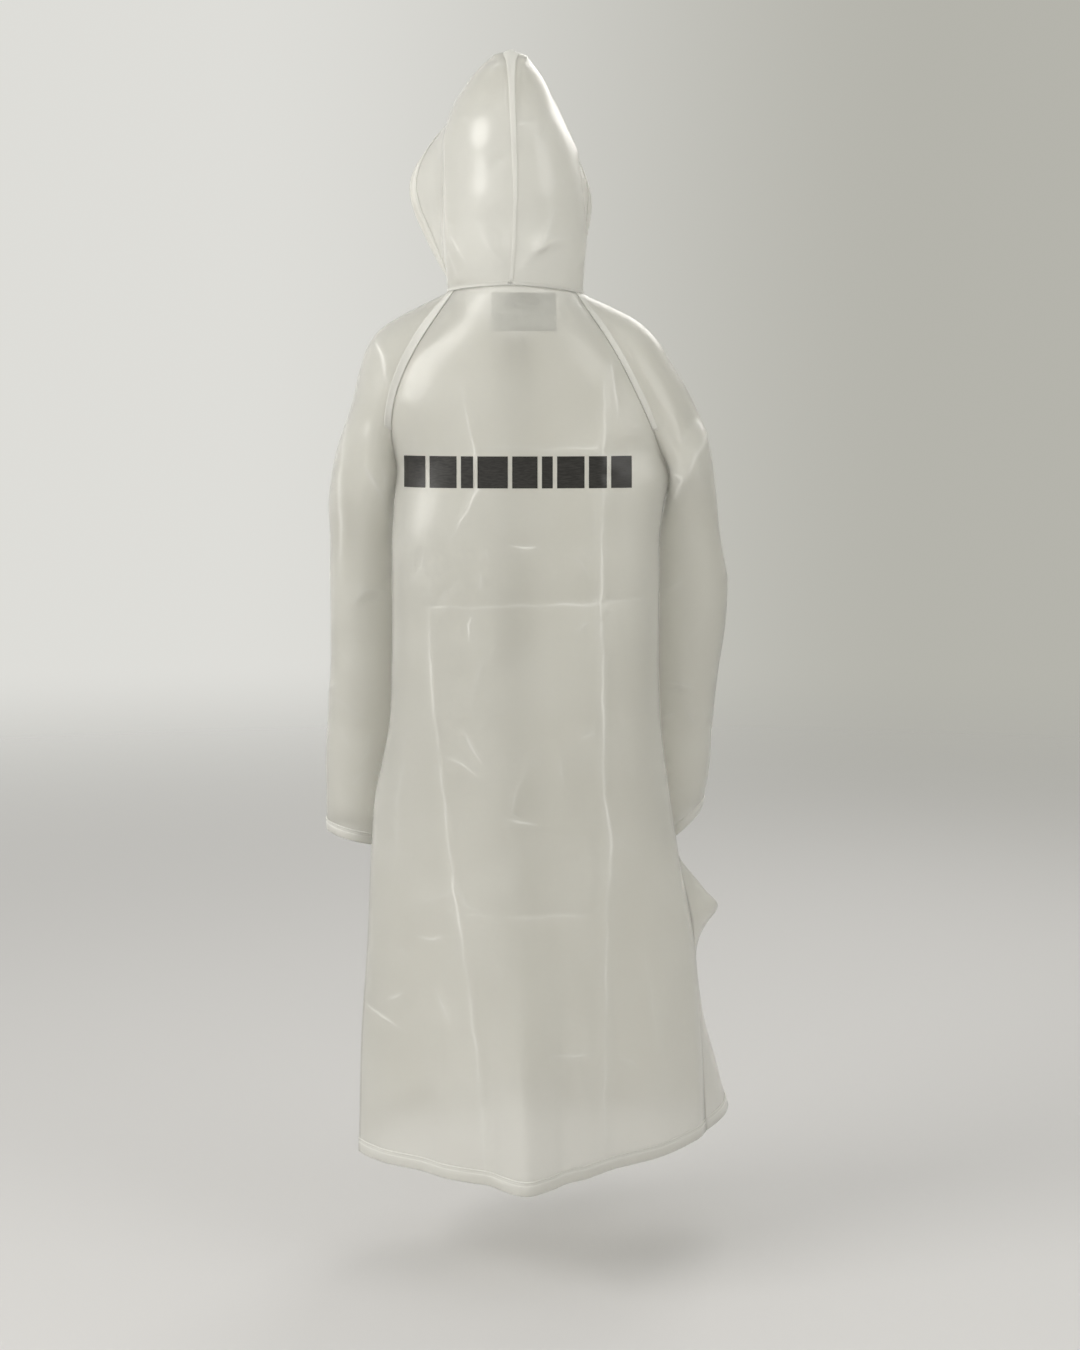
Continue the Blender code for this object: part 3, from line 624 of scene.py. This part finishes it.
# -------------------------------------------------------------------------------- the fronts
# Two narrower pieces of the same film. The left one laps over the right one down the middle,
# where the snaps hold it. They were folded in the same packet, so they have like fold lines.
FRONT_STEP = 0.0055
FRONT_CREASES = creases_on("front", [
    (0.005, 0.0020, 0.9, [(0.118, -0.15, 0.2), (0.122, -0.5, 1), (0.117, -1.22, 0.4)]),
    (0.005, 0.0020, 0.9, [(-0.11, -0.2, 0.3), (-0.12, -0.6, 1), (-0.13, -1.2, 0.3)]),
    (0.005, -0.0019, 1.0, [(-0.16, -0.21, 0.5), (0.03, -0.212, 1), (0.15, -0.2, 0.2)]),
    (0.005, -0.0019, 1.0, [(-0.17, -0.43, 0.4), (0.0, -0.428, 0.8), (0.16, -0.43, 0.6)]),
    (0.006, -0.0019, 0.9, [(-0.2, -0.865, 0.3), (-0.05, -0.862, 1), (0.18, -0.868, 0)]),
    (0.006, 0.0016, 0.5, [(0.07, -0.55, 0), (0.055, -0.63, 0.9), (0.06, -0.74, 0)]),
    (0.005, 0.0016, 0.5, [(-0.04, -0.28, 0), (-0.07, -0.33, 0.9), (-0.08, -0.40, 0)]),
    (0.006, 0.0015, 0.4, [(-0.17, -0.90, 0), (-0.18, -1.01, 0.9), (-0.20, -1.12, 0)]),
])
FRONT_CREASES += small_creases([Spread("front", 22, 11, -0.2, 0.18, -1.10, -0.15, 0.10)])
film_fronts = {}
front = {}
for side in ("left", "right"):
    front[side] = Film(f"front_{side}", "lowest", BODY_CREASES + FRONT_CREASES)
    reach = (0, 0, 0, PANEL_REACH) if side == "left" else (0, 0, PANEL_REACH, 0)
    film_fronts[side] = front[side].whole(f"film_front_{side}", frosted, FRONT_STEP, reach)


# ------------------------------------------------------------------------------- the sleeves
# Each raglan sleeve is one piece, welded to itself under the arm and to the back and the front
# from the armpit to the neck. The film crumples at the elbow and at the shoulder's corner.
SLEEVE_STEP = 0.005
SLEEVE_CREASES = {
    "left": creases_on("back", [
        (0.006, 0.0036, 1.0, [(0.197, -0.067, 0.5), (0.186, -0.085, 1), (0.176, -0.148, 0)]),
        (0.007, 0.0049, 1.0, [(0.240, -0.14, 0), (0.251, -0.25, 1), (0.254, -0.42, 0)]),
        (0.012, -0.0065, 0.0, [(0.222, -0.14, 0), (0.234, -0.25, 1), (0.236, -0.42, 0)]),
        (0.006, 0.0052, 1.0, [(0.245, -0.442, 0), (0.219, -0.416, 1), (0.185, -0.419, 0.6)]),
        (0.006, -0.0052, 0.7, [(0.240, -0.441, 0.3), (0.206, -0.432, 1), (0.186, -0.44, 0)]),
        (0.006, 0.0038, 0.9, [(0.214, -0.236, 0.2), (0.197, -0.271, 1), (0.182, -0.32, 0.3)]),
        (0.008, 0.0036, 0.7, [(0.270, -0.57, 0), (0.229, -0.598, 1), (0.19, -0.614, 0)]),
    ]) + creases_on("front", [
        (0.008, 0.0042, 0.8, [(0.17, -0.43, 0.8), (0.21, -0.41, 1), (0.24, -0.42, 0)]),
        (0.008, -0.0038, 0.7, [(0.17, -0.47, 0.7), (0.20, -0.46, 1), (0.235, -0.48, 0)]),
        (0.008, 0.0036, 0.8, [(0.15, -0.24, 1), (0.175, -0.27, 0.8), (0.19, -0.34, 0)]),
    ]) + creases_on("left", [
        (0.009, 0.0032, 0.5, [(-0.12, -0.52, 0), (-0.09, -0.56, 1), (-0.04, -0.58, 0)]),
    ]),
    "right": creases_on("back", [
        (0.012, 0.0097, 0.8, [(-0.275, -0.17, 1), (-0.25, -0.215, 1), (-0.234, -0.254, 0.6)]),
        (0.010, -0.0073, 0.0, [(-0.250, -0.17, 1), (-0.228, -0.21, 0.8), (-0.218, -0.24, 0)]),
        (0.014, 0.0082, 0.0, [(-0.262, -0.26, 0), (-0.268, -0.38, 0.8), (-0.262, -0.50, 0)]),
        (0.005, 0.0038, 1.0, [(-0.215, -0.24, 0), (-0.234, -0.254, 1), (-0.207, -0.316, 0)]),
        (0.006, 0.0049, 1.0, [(-0.209, -0.555, 0), (-0.235, -0.554, 1), (-0.262, -0.562, 0)]),
        (0.007, -0.0042, 0.5, [(-0.209, -0.567, 0), (-0.23, -0.566, 1), (-0.255, -0.575, 0)]),
        (0.006, 0.0036, 1.0, [(-0.207, -0.614, 0.4), (-0.218, -0.606, 1), (-0.23, -0.6, 0)]),
        (0.006, 0.0038, 1.0, [(-0.205, -0.421, 0.4), (-0.221, -0.412, 1), (-0.24, -0.4, 0)]),
    ]) + creases_on("front", [
        (0.008, 0.0042, 0.8, [(-0.18, -0.44, 0.8), (-0.22, -0.42, 1), (-0.25, -0.43, 0)]),
        (0.008, -0.0038, 0.7, [(-0.18, -0.48, 0.7), (-0.21, -0.47, 1), (-0.245, -0.49, 0)]),
        (0.008, 0.0036, 0.8, [(-0.15, -0.25, 1), (-0.18, -0.28, 0.8), (-0.20, -0.35, 0)]),
    ]) + creases_on("right", [
        (0.009, 0.0032, 0.5, [(-0.12, -0.36, 0), (-0.08, -0.40, 1), (-0.03, -0.41, 0)]),
    ]),
}
SLEEVE_SPREADS = {
    "left": [
        Spread("back", 9, 13, 0.18, 0.27, -0.72, -0.15, 0.08),
        Spread("front", 8, 19, 0.16, 0.26, -0.72, -0.15, 0.08),
    ],
    "right": [
        Spread("back", 9, 17, -0.29, -0.20, -0.72, -0.15, 0.08),
        Spread("front", 8, 23, -0.28, -0.18, -0.72, -0.15, 0.08),
    ],
}
sleeve = {}
film_sleeves = {}
for side in ("left", "right"):
    SLEEVE_CREASES[side] += small_creases(SLEEVE_SPREADS[side])
    sleeve[side] = Film(f"sleeve_{side}", "highest", SLEEVE_CREASES[side], (True, False))
    film_sleeves[side] = sleeve[side].whole(f"film_sleeve_{side}", frosted, SLEEVE_STEP)


# ---------------------------------------------------------------------------------- the hood
# Two halves, welded together from the neck over the crown and to the coat round the neck. The
# film is pinched at the nape and at the crown.
HOOD_STEP = 0.0045
HOOD_REACH = 0.0009  # narrows the CAD walls' gap under the rib
NECK_REACH = 0.0020  # and the one over the coat's neck edge
# The film stands fuller than its CAD wall round the peak: moves out and up, by the row, where
# -1 is the top one, and the column, counted from the seam.
PEAK_FULLNESS = {
    (-1, 0): (0.0, -0.0045), (-1, 1): (0.0, -0.0020), (-2, 0): (0.0, -0.0020),
    (-2, 1): (0.005, 0.0005), (-2, 2): (0.009, 0.0025), (-2, 3): (0.007, 0.003), (-2, 4): (0.005, 0.003),
    (-2, 5): (0.003, 0.002), (-3, 1): (0.002, 0.002), (-3, 2): (0.002, 0.006), (-3, 3): (0.005, 0.006),
    (-3, 4): (0.005, 0.004), (-3, 5): (0.003, 0.002), (-4, 1): (0.0, 0.001), (-4, 2): (0.001, 0.003),
    (-4, 3): (0.002, 0.003), (-4, 4): (0.001, 0.002),
}
HOOD_CREASES = creases_on("back", [
    (0.006, 0.0054, 0.9, [(-0.031, 0.066, 1), (-0.052, 0.074, 0.8), (-0.080, 0.081, 0)]),
    (0.006, 0.0049, 0.8, [(-0.031, 0.066, 1), (-0.018, 0.049, 0.7), (-0.004, 0.033, 0)]),
    (0.006, 0.0046, 0.7, [(-0.031, 0.066, 1), (-0.042, 0.093, 0.8), (-0.053, 0.120, 0)]),
    (0.006, -0.0041, 0.0, [(-0.040, 0.056, 1), (-0.055, 0.060, 0.8), (-0.075, 0.064, 0)]),
    (0.007, 0.0049, 0.6, [(0.060, 0.100, 0), (0.034, 0.060, 1), (0.010, 0.030, 0)]),
    (0.007, -0.0041, 0.2, [(0.050, 0.108, 0), (0.022, 0.074, 1), (0.004, 0.050, 0)]),
    (0.006, 0.0032, 0.8, [(0.108, 0.224, 0.4), (0.104, 0.134, 1), (0.098, 0.02, 0.8)]),
    (0.006, 0.0032, 0.6, [(0.104, 0.105, 0), (0.079, 0.061, 1), (0.055, 0.025, 0.2)]),
    (0.005, 0.0024, 0.9, [(-0.004, 0.225, 1), (-0.012, 0.227, 0.8), (-0.024, 0.228, 0)]),
    (0.006, 0.0027, 0.9, [(0.030, 0.305, 1), (0.023, 0.310, 0.8), (0.003, 0.306, 0)]),
    (0.005, 0.0030, 0.9, [(0.016, 0.290, 0.8), (0.015, 0.253, 1), (0.007, 0.228, 0.6)]),
    (0.005, -0.0024, 0.0, [(0.004, 0.285, 0), (0.001, 0.252, 1), (-0.006, 0.226, 0.3)]),
]) + creases_on("left", [
    (0.006, 0.0027, 0.7, [(0.035, 0.235, 0.2), (0.045, 0.14, 1), (0.05, 0.03, 0.6)]),
    (0.008, 0.0032, 0.5, [(0.03, 0.05, 0.2), (-0.01, 0.10, 1), (-0.05, 0.17, 0)]),
    (0.009, 0.0027, 0.3, [(0.06, 0.24, 0), (0.02, 0.21, 1), (-0.03, 0.22, 0)]),
]) + creases_on("right", [
    (0.008, 0.0032, 0.5, [(0.04, 0.04, 0.2), (0.0, 0.08, 1), (-0.04, 0.14, 0)]),
    (0.009, 0.0027, 0.3, [(0.05, 0.22, 0), (0.01, 0.20, 1), (-0.04, 0.21, 0)]),
])
HOOD_CREASES += small_creases([Spread("back", 9, 29, -0.07, 0.08, 0.03, 0.27, 0.04)])
hood = {}
film_hoods = {}
for side in ("left", "right"):
    hood[side] = Film(f"hood_{side}", "lowest", HOOD_CREASES, (True, True))
    out = 1 if side == "left" else -1
    for (row, column), (aside, up) in PEAK_FULLNESS.items():
        knot = hood[side].knots[row, column if side == "right" else -1 - column]
        knot += (out * aside, 0, up)
    at_centre = (0, HOOD_REACH) if side == "left" else (HOOD_REACH, 0)
    reach = (NECK_REACH, 0, *at_centre)
    film_hoods[side] = hood[side].whole(f"film_hood_{side}", frosted, HOOD_STEP, reach)


# ---------------------------------------------------------- the hems, the cuffs and the face hem
# Each edge is turned over once and welded along two close lines, so the band is two walls
# thick and paler than the single film, with two fine ridges and the whiter lines beside them.
BAND_WALL = 0.0005
BAND_LIFT = 0.0008
BAND_STEP = 0.008
welded = film_finish(
    "welded_film",
    pale=(0.975, 0.967, 0.928, 1.0),
    deep=(0.96, 0.95, 0.905, 1.0),
    clear=0.70,
    roughness=0.42,
    milk_share=0.10,
    line_milk_and_highlight=0.65,
)
PRESSED = 0.9  # how strongly the pressed lines show
WELD_GAP = 0.0062  # between the two pressed lines, of which one is the band's inner edge
# The band's rows: distance from its free edge or from its inner edge, and height over its lift.
FREE_EDGE_ROWS = [(0.0, 0.0), (0.0012, 0.0003)]
WELD_ROWS = [
    (0.0062, 0.0003), (0.0050, 0.0), (0.0042, 0.0006), (0.0034, 0.0), (0.0022, 0.0003),
    (0.0014, 0.0007), (0.0006, 0.0004), (0.0, 0.0),
]
welds = {}  # the welded pieces, by the node that each replaces


def weld(node, name, patches):
    """Adds a welded piece that replaces a node."""
    welds[node] = film_piece(name, welded, patches, BAND_WALL)
    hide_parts(node)


def band(film, edge):
    """A hem's patch along one edge of a piece of film, from its free edge to its weld."""
    level = edge in ("bottom", "top")
    places = film.up if level else film.across
    cell = places[1] if edge in ("bottom", "first") else places[-1] - places[-2]
    band_rows = FREE_EDGE_ROWS + [(cell - distance, height) for distance, height in WELD_ROWS]
    offsets, heights = np.array(band_rows).T
    across_band = offsets if edge in ("bottom", "first") else places[-1] - offsets
    if edge in ("top", "last"):
        across_band, heights = across_band[::-1], heights[::-1]
    lift = BAND_LIFT + heights
    if level:
        patch = film.patch(across_band, finer(film.across, BAND_STEP), lift[:, None])
    else:
        patch = film.patch(finer(film.up, BAND_STEP), across_band, lift[None, :])
    to_line = np.minimum(cell - offsets, abs(cell - offsets - WELD_GAP))
    if edge in ("top", "last"):
        to_line = to_line[::-1]
    to_line = to_line[:, None] if level else to_line[None, :]
    shape = patch.points.shape[:2]
    return patch._replace(nearest=np.broadcast_to(to_line, shape), strongest=np.full(shape, PRESSED))


weld("hem_back", "hem_band_back", [band(back, "bottom")])
for side in ("left", "right"):
    weld(f"hem_front_{side}", f"hem_band_front_{side}", [band(front[side], "bottom")])
for side in ("left", "right"):
    weld(f"cuff_hem_{side}", f"cuff_band_{side}", [band(sleeve[side], "top")])
for side, edge in (("left", "first"), ("right", "last")):
    weld(f"hood_hem_{side}", f"face_band_{side}", [band(hood[side], edge)])


# --------------------------------------------------------------------- the laps of the seams
# The raglan seams are lapped and welded, wider on the wearer's left. The hood's two halves meet
# in a narrow welded rib from the neck over the crown, and a pressed weld joins them to the coat.
LAP_ROW = 6  # the raglan laps end at this row of the sleeve's CAD wall
LAP_WIDTHS = {"left": 0.0125, "right": 0.0085}
NECK_WELD = 0.0048  # the width of the weld round the neck
RIB_HALF = 0.0040  # half of the rib's width at the crown's back corner
RIB_NARROWS = 0.45  # what is left of it at the neck
RIB_CROWN_SHARE = 0.8  # and along the crown
SEAM_WHITENESS = 0.55  # two walls of film pressed together are whiter than the ones in a hem
# Share of the width, or of half of it from the middle out, and height over the lift
LAP_PROFILE = [
    (0.0, 0.0), (0.10, 0.0004), (0.22, 0.0), (0.50, 0.0001), (0.78, 0.0), (0.90, 0.0004), (1.0, 0.0),
]
RIB_PROFILE = [(0.0, 0.0004), (0.35, 0.0005), (0.8, 0.0004), (1.0, 0.0)]


def whitened(patch):
    """The patch with the even whiteness of a seam's weld."""
    shape = patch.points.shape[:2]
    return patch._replace(nearest=np.zeros(shape), strongest=np.full(shape, SEAM_WHITENESS))


def lap(film, edge, end, width):
    """A lap's patch along the first or last column of a piece of film, up to one of its rows."""
    shares, heights = np.array(LAP_PROFILE).T
    across = shares * width
    if edge == "last":
        across, heights = film.across[-1] - across[::-1], heights[::-1]
    up = finer(film.up[: end + 1], BAND_STEP)
    return whitened(film.patch(up, across, BAND_LIFT + heights[None, :]))


for side in ("left", "right"):
    film = sleeve[side]
    edges = {"back": "first", "front": "last"} if side == "left" else {"back": "last", "front": "first"}
    for face, edge in edges.items():
        patch = lap(film, edge, LAP_ROW, LAP_WIDTHS[side])
        weld(f"raglan_lap_{face}_{side}", f"lap_{face}_{side}", [patch])


def counted(knots, last):
    """Places up to a knot as counts of knots, which name the same place on both halves."""
    places = finer(knots[: last + 1], BAND_STEP)
    return np.interp(places, knots, np.arange(len(knots)))


def measured(counts, knots):
    """Places counted in knots, in metres again."""
    return np.interp(counts, np.arange(len(knots)), knots)


def over_seam(from_left, from_right, narrowing, axis):
    """A rib's patch from the left half, over the seam's middle, to the right half."""
    first, second = from_left.points, from_right.points
    if axis == 0:
        first, second = first.swapaxes(0, 1), second.swapaxes(0, 1)
    middle = (first[:, -1:] + second[:, :1]) / 2
    points = np.concatenate([first, middle, second], axis=1)
    points = middle + (points - middle) * narrowing[:, None, None]
    if axis == 0:
        points = points.swapaxes(0, 1)
    # No look of the rib follows its UV map, so its places are only counted, in millimetres.
    up, across = (np.arange(count) * 1e-3 for count in points.shape[:2])
    return whitened(Patch(points, None, None, up, across))


left, right = hood["left"], hood["right"]
shares, heights = np.array(RIB_PROFILE).T
offsets, heights = shares * RIB_HALF, BAND_LIFT + heights
at = counted(left.up, len(left.up) - 1)
spine = over_seam(
    left.patch(measured(at, left.up), left.across[-1] - offsets[::-1], heights[::-1]),
    right.patch(measured(at, right.up), offsets, heights),
    RIB_NARROWS + (1 - RIB_NARROWS) * smooth(at / at[-1]),
    axis=1,
)
at = counted(right.across, len(right.across) - 2)
backwards = measured(len(left.across) - 1 - at[::-1], left.across)
far_side = right.patch(
    right.up[-1] - offsets[::-1], measured(at, right.across), heights[::-1, None]
)
crown = over_seam(
    left.patch(left.up[-1] - offsets[::-1], backwards, heights[::-1, None]),
    far_side._replace(points=far_side.points[::-1, ::-1]),
    np.full(len(at), RIB_CROWN_SHARE),
    axis=0,
)
weld("hood_centre_lap", "hood_rib", [spine, crown])

shares, heights = np.array(LAP_PROFILE).T
up, heights = shares * NECK_WELD - NECK_REACH, (BAND_LIFT + heights)[:, None]
neck_parts = [
    whitened(half.patch(up, finer(half.across, BAND_STEP), heights)) for half in (left, right)
]
neck_weld = film_piece("neck_weld", welded, neck_parts, BAND_WALL)


# ------------------------------------------------------------------------- the neck label
# A plain white film label hangs inside the back from the neck seam, with a smaller one over
# its upper part. Both are bare.
Label = namedtuple("Label", "name right left top bottom lift wall")
LABELS = [
    Label("neck_tab", -0.054, 0.036, 0.003, -0.050, -0.0016, 0.0005),
    Label("neck_tab_small", -0.031, 0.015, 0.002, -0.019, -0.0024, 0.0004),
]
LABEL_COLOURS = ((0.90, 0.915, 0.92, 1.0), (0.95, 0.96, 0.965, 1.0))
LABEL_GRAIN = (0.0015, 0.0015, 0.0009)
LABEL_GLOW = (0.925, 0.938, 0.943, 1.0)
LABEL_LETS_THROUGH = 0.4
LAID_STEP = 0.004
BEHIND_THE_COAT = 1.0  # the y from which its back is looked at


def grained(tree, size, detail):
    """A noise texture with grains of about this size along x, y and z."""
    place = tree.node("ShaderNodeTexCoord", output="Object")
    counted_in_grains = tree.node("ShaderNodeVectorMath", {"operation": "DIVIDE"}, {0: place, 1: size})
    noise = {"Vector": counted_in_grains, "Scale": 1.0, "Detail": detail}
    return tree.node("ShaderNodeTexNoise", inputs=noise)


label_film = bpy.data.materials.new("label_film")
tree = empty_tree(label_film)
label_colour = grained(tree, LABEL_GRAIN, 2.0).between(*NOISE_SPREAD).mixed(*LABEL_COLOURS)
label_shader = tree.node(
    "ShaderNodeBsdfPrincipled",
    inputs={"Base Color": label_colour, "Roughness": 0.45, "Transmission Weight": 0.1},
)
label_glow = tree.node("ShaderNodeBsdfTranslucent", inputs={"Color": LABEL_GLOW})
label_mix = tree.node(
    "ShaderNodeMixShader", inputs={0: LABEL_LETS_THROUGH, 1: label_shader, 2: label_glow}
)
tree.node("ShaderNodeOutputMaterial", inputs={"Surface": label_mix})


def surface(piece):
    """A piece's outside and inside, on which places can be looked up."""
    bpy.context.view_layer.update()
    return BVHTree.FromObject(piece, bpy.context.evaluated_depsgraph_get())


back_side = surface(film_back)


def laid_patch(right, left, top, bottom, lift):
    """A patch laid on the back between four sides, given as they are seen from behind."""
    across = np.linspace(left, right, max(3, round((left - right) / LAID_STEP) + 1))
    up = np.linspace(bottom, top, max(3, round((top - bottom) / LAID_STEP) + 1))
    points = np.zeros((len(up), len(across), 3))
    for r, z in enumerate(up):
        for c, x in enumerate(across):
            hit, way, _, _ = back_side.ray_cast((x, BEHIND_THE_COAT, z), (0, -1, 0))
            points[r, c] = hit + way * lift
    plain = np.zeros(points.shape[:2])
    return Patch(points, plain + FAR, plain, up, -across)


labels = []
for label in LABELS:
    patch = laid_patch(label.right, label.left, label.top, label.bottom, label.lift)
    labels.append(film_piece(label.name, label_film, [patch], label.wall))
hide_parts("neck_label")


# ------------------------------------------------------------------ the print on the back
# A line of plain dark blocks in thin, slightly glossy ink across the shoulder blades.
BLOCK_TOP, BLOCK_BOTTOM = -0.222, -0.266
INK_LIFT = 0.0004
INK_GRAIN = (0.009, 0.009, 0.0013)
INK_COLOURS = ((0.012, 0.011, 0.010, 1.0), (0.03, 0.028, 0.025, 1.0))
INK_WEARS = (0.35, 0.7)  # from full ink to worn ink, as the noise texture's values
INK_ROUGHNESS = (0.28, 0.45)
# The x of each block's left and right edges, as they are seen from behind
BLOCK_EDGES = [
    (0.159, 0.128), (0.122, 0.084), (0.078, 0.061), (0.055, 0.013), (0.007, -0.028),
    (-0.034, -0.049), (-0.055, -0.093), (-0.099, -0.124), (-0.130, -0.159),
]


def varied_finish(name, size, detail, spread, colours, roughness, others=()):
    """A plain finish whose colour and roughness vary a little, in grains of this size."""
    material = bpy.data.materials.new(name)
    tree = empty_tree(material)
    grain = grained(tree, size, detail)
    look = {
        "Base Color": grain.between(*spread).mixed(*colours),
        "Roughness": grain.between(*NOISE_SPREAD, *roughness),
        **dict(others),
    }
    shader = tree.node("ShaderNodeBsdfPrincipled", inputs=look)
    tree.node("ShaderNodeOutputMaterial", inputs={"Surface": shader})
    return material


ink = varied_finish("ink", INK_GRAIN, 3.0, INK_WEARS, INK_COLOURS, INK_ROUGHNESS)
blocks = [laid_patch(right, left, BLOCK_TOP, BLOCK_BOTTOM, INK_LIFT) for left, right in BLOCK_EDGES]
print_blocks = film_piece("print_blocks", ink, blocks, wall=None)


# ------------------------------------------------------------------------------- the snaps
# Five clear moulded press studs hold the left front on the right one: a domed cap with a rolled
# rim outside, and a thin washer on the film's inner side.
SNAP_COUNT = 5
SNAP_SIDES = 32
SNAP_GRAIN = (0.001, 0.001, 0.001)
SNAP_COLOURS = ((0.80, 0.80, 0.77, 1.0), (0.86, 0.86, 0.84, 1.0))
SNAP_ROUGHNESS = (0.16, 0.26)
# Radius, and height over the film's outer side, from the cap's middle round to the washer's
SNAP_PROFILE = [
    (0.0, 0.0019), (0.0012, 0.0020), (0.0022, 0.0022), (0.0034, 0.0023), (0.0046, 0.0021),
    (0.0054, 0.0017), (0.0059, 0.0010), (0.0060, 0.0004), (0.0056, 0.0), (0.0014, 0.0),
    (0.0014, -0.0010), (0.0046, -0.0010), (0.0050, -0.0013), (0.0046, -0.0016), (0.0, -0.0016),
]
snap_plastic = varied_finish(
    "snap_plastic",
    SNAP_GRAIN,
    2.0,
    NOISE_SPREAD,
    SNAP_COLOURS,
    SNAP_ROUGHNESS,
    {"Transmission Weight": 0.35, "Coat Weight": 0.3},
)

stud_mesh = bpy.data.meshes.new("stud")
turned = bmesh.new()
outline = [turned.verts.new((radius, 0, height)) for radius, height in SNAP_PROFILE]
outline_edges = [turned.edges.new(pair) for pair in zip(outline, outline[1:])]
bmesh.ops.spin(
    turned,
    geom=outline + outline_edges,
    axis=(0, 0, 1),
    cent=(0, 0, 0),
    angle=2 * math.pi,
    steps=SNAP_SIDES,
    use_merge=True,
)
bmesh.ops.remove_doubles(turned, verts=turned.verts, dist=JOINED)
bmesh.ops.recalc_face_normals(turned, faces=turned.faces)
turned.to_mesh(stud_mesh)
turned.free()
stud_mesh.shade_smooth()
stud = bpy.data.objects.new("stud", stud_mesh)

outer_front = surface(film_fronts["left"])
snap_nodes = [f"snap_{number}" for number in range(1, SNAP_COUNT + 1)]
seats, ways = [], []
for node in snap_nodes:
    low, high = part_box(node)
    seat, way, _, _ = outer_front.find_nearest((Vector(low) + Vector(high)) / 2)
    seats.append(seat)
    ways.append(way)
row_mesh = bpy.data.meshes.new("snap_row")
row_mesh.from_pydata(seats, [], [])
row_mesh.attributes.new("way", "FLOAT_VECTOR", "POINT").data.foreach_set("vector", np.ravel(ways))
snap_row = bpy.data.objects.new("snap_row", row_mesh)
bpy.context.scene.collection.objects.link(snap_row)

row_tree = bpy.data.node_groups.new("studs_on_points", "GeometryNodeTree")
sockets = {}
for name, kind in (("Points", "Geometry"), ("Stud", "Object"), ("Size", "Float"), ("Finish", "Material")):
    socket = row_tree.interface.new_socket(name, in_out="INPUT", socket_type=f"NodeSocket{kind}")
    sockets[name] = socket.identifier
row_tree.interface.new_socket("Studs", in_out="OUTPUT", socket_type="NodeSocketGeometry")
row = Shade(row_tree)
inputs = {name: row.node("NodeGroupInput", output=name) for name in sockets}
way = row.node("GeometryNodeInputNamedAttribute", {"data_type": "FLOAT_VECTOR"}, {"Name": "way"})
turn = row.node("FunctionNodeAlignRotationToVector", {"axis": "Z"}, {"Vector": way})
shape = row.node("GeometryNodeObjectInfo", inputs={"Object": inputs["Stud"]}, output="Geometry")
studs = row.node(
    "GeometryNodeInstanceOnPoints",
    inputs={"Points": inputs["Points"], "Instance": shape, "Rotation": turn, "Scale": inputs["Size"]},
)
real = row.node("GeometryNodeRealizeInstances", inputs={"Geometry": studs})
finished = row.node("GeometryNodeSetMaterial", inputs={"Geometry": real, "Material": inputs["Finish"]})
row.node("NodeGroupOutput", inputs={"Studs": finished})
placed = snap_row.modifiers.new("studs", "NODES")
placed.node_group = row_tree
placed[sockets["Stud"]] = stud
placed[sockets["Size"]] = 1.0
placed[sockets["Finish"]] = snap_plastic
snap_row.update_tag()
bpy.context.view_layer.update()
evaluated = snap_row.evaluated_get(bpy.context.evaluated_depsgraph_get())
snap_mesh = bpy.data.meshes.new_from_object(evaluated)
snap_row.modifiers.clear()
bpy.data.objects.remove(stud)
snap_row.data = snap_mesh
snap_row.name = "snaps"
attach(snap_row, "root")
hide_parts(*snap_nodes)


# ------------------------------------------------------------------------------ the sheets
# Each piece of film, with the flat size of its cut: its width and length with the turned hem.
# It rests on its neighbour, and carries the welded pieces that replace the named nodes.
Sheet = namedtuple("Sheet", "piece width length area neighbour carries")
SHEETS = [
    Sheet(film_back, 0.745, 1.35, 0.665, film_hoods["left"], ["hem_back"]),
    Sheet(film_fronts["left"], 0.41, 1.36, 0.395, film_back, ["hem_front_left"]),
    Sheet(film_fronts["right"], 0.53, 1.42, 0.435, film_back, ["hem_front_right"]),
    Sheet(
        film_sleeves["left"], 0.37, 0.90, 0.256, film_back,
        ["cuff_hem_left", "raglan_lap_back_left", "raglan_lap_front_left"],
    ),
    Sheet(
        film_sleeves["right"], 0.36, 0.95, 0.253, film_back,
        ["cuff_hem_right", "raglan_lap_back_right", "raglan_lap_front_right"],
    ),
    Sheet(film_hoods["left"], 0.34, 0.47, 0.110, film_back, ["hood_hem_left", "hood_centre_lap"]),
    Sheet(film_hoods["right"], 0.33, 0.42, 0.104, film_back, ["hood_hem_right"]),
]
for sheet in SHEETS:
    extras = [welds[node] for node in sheet.carries]
    if sheet.piece == film_back:
        extras += [*labels, print_blocks]
    if sheet.piece == film_fronts["left"]:
        extras.append(snap_row)
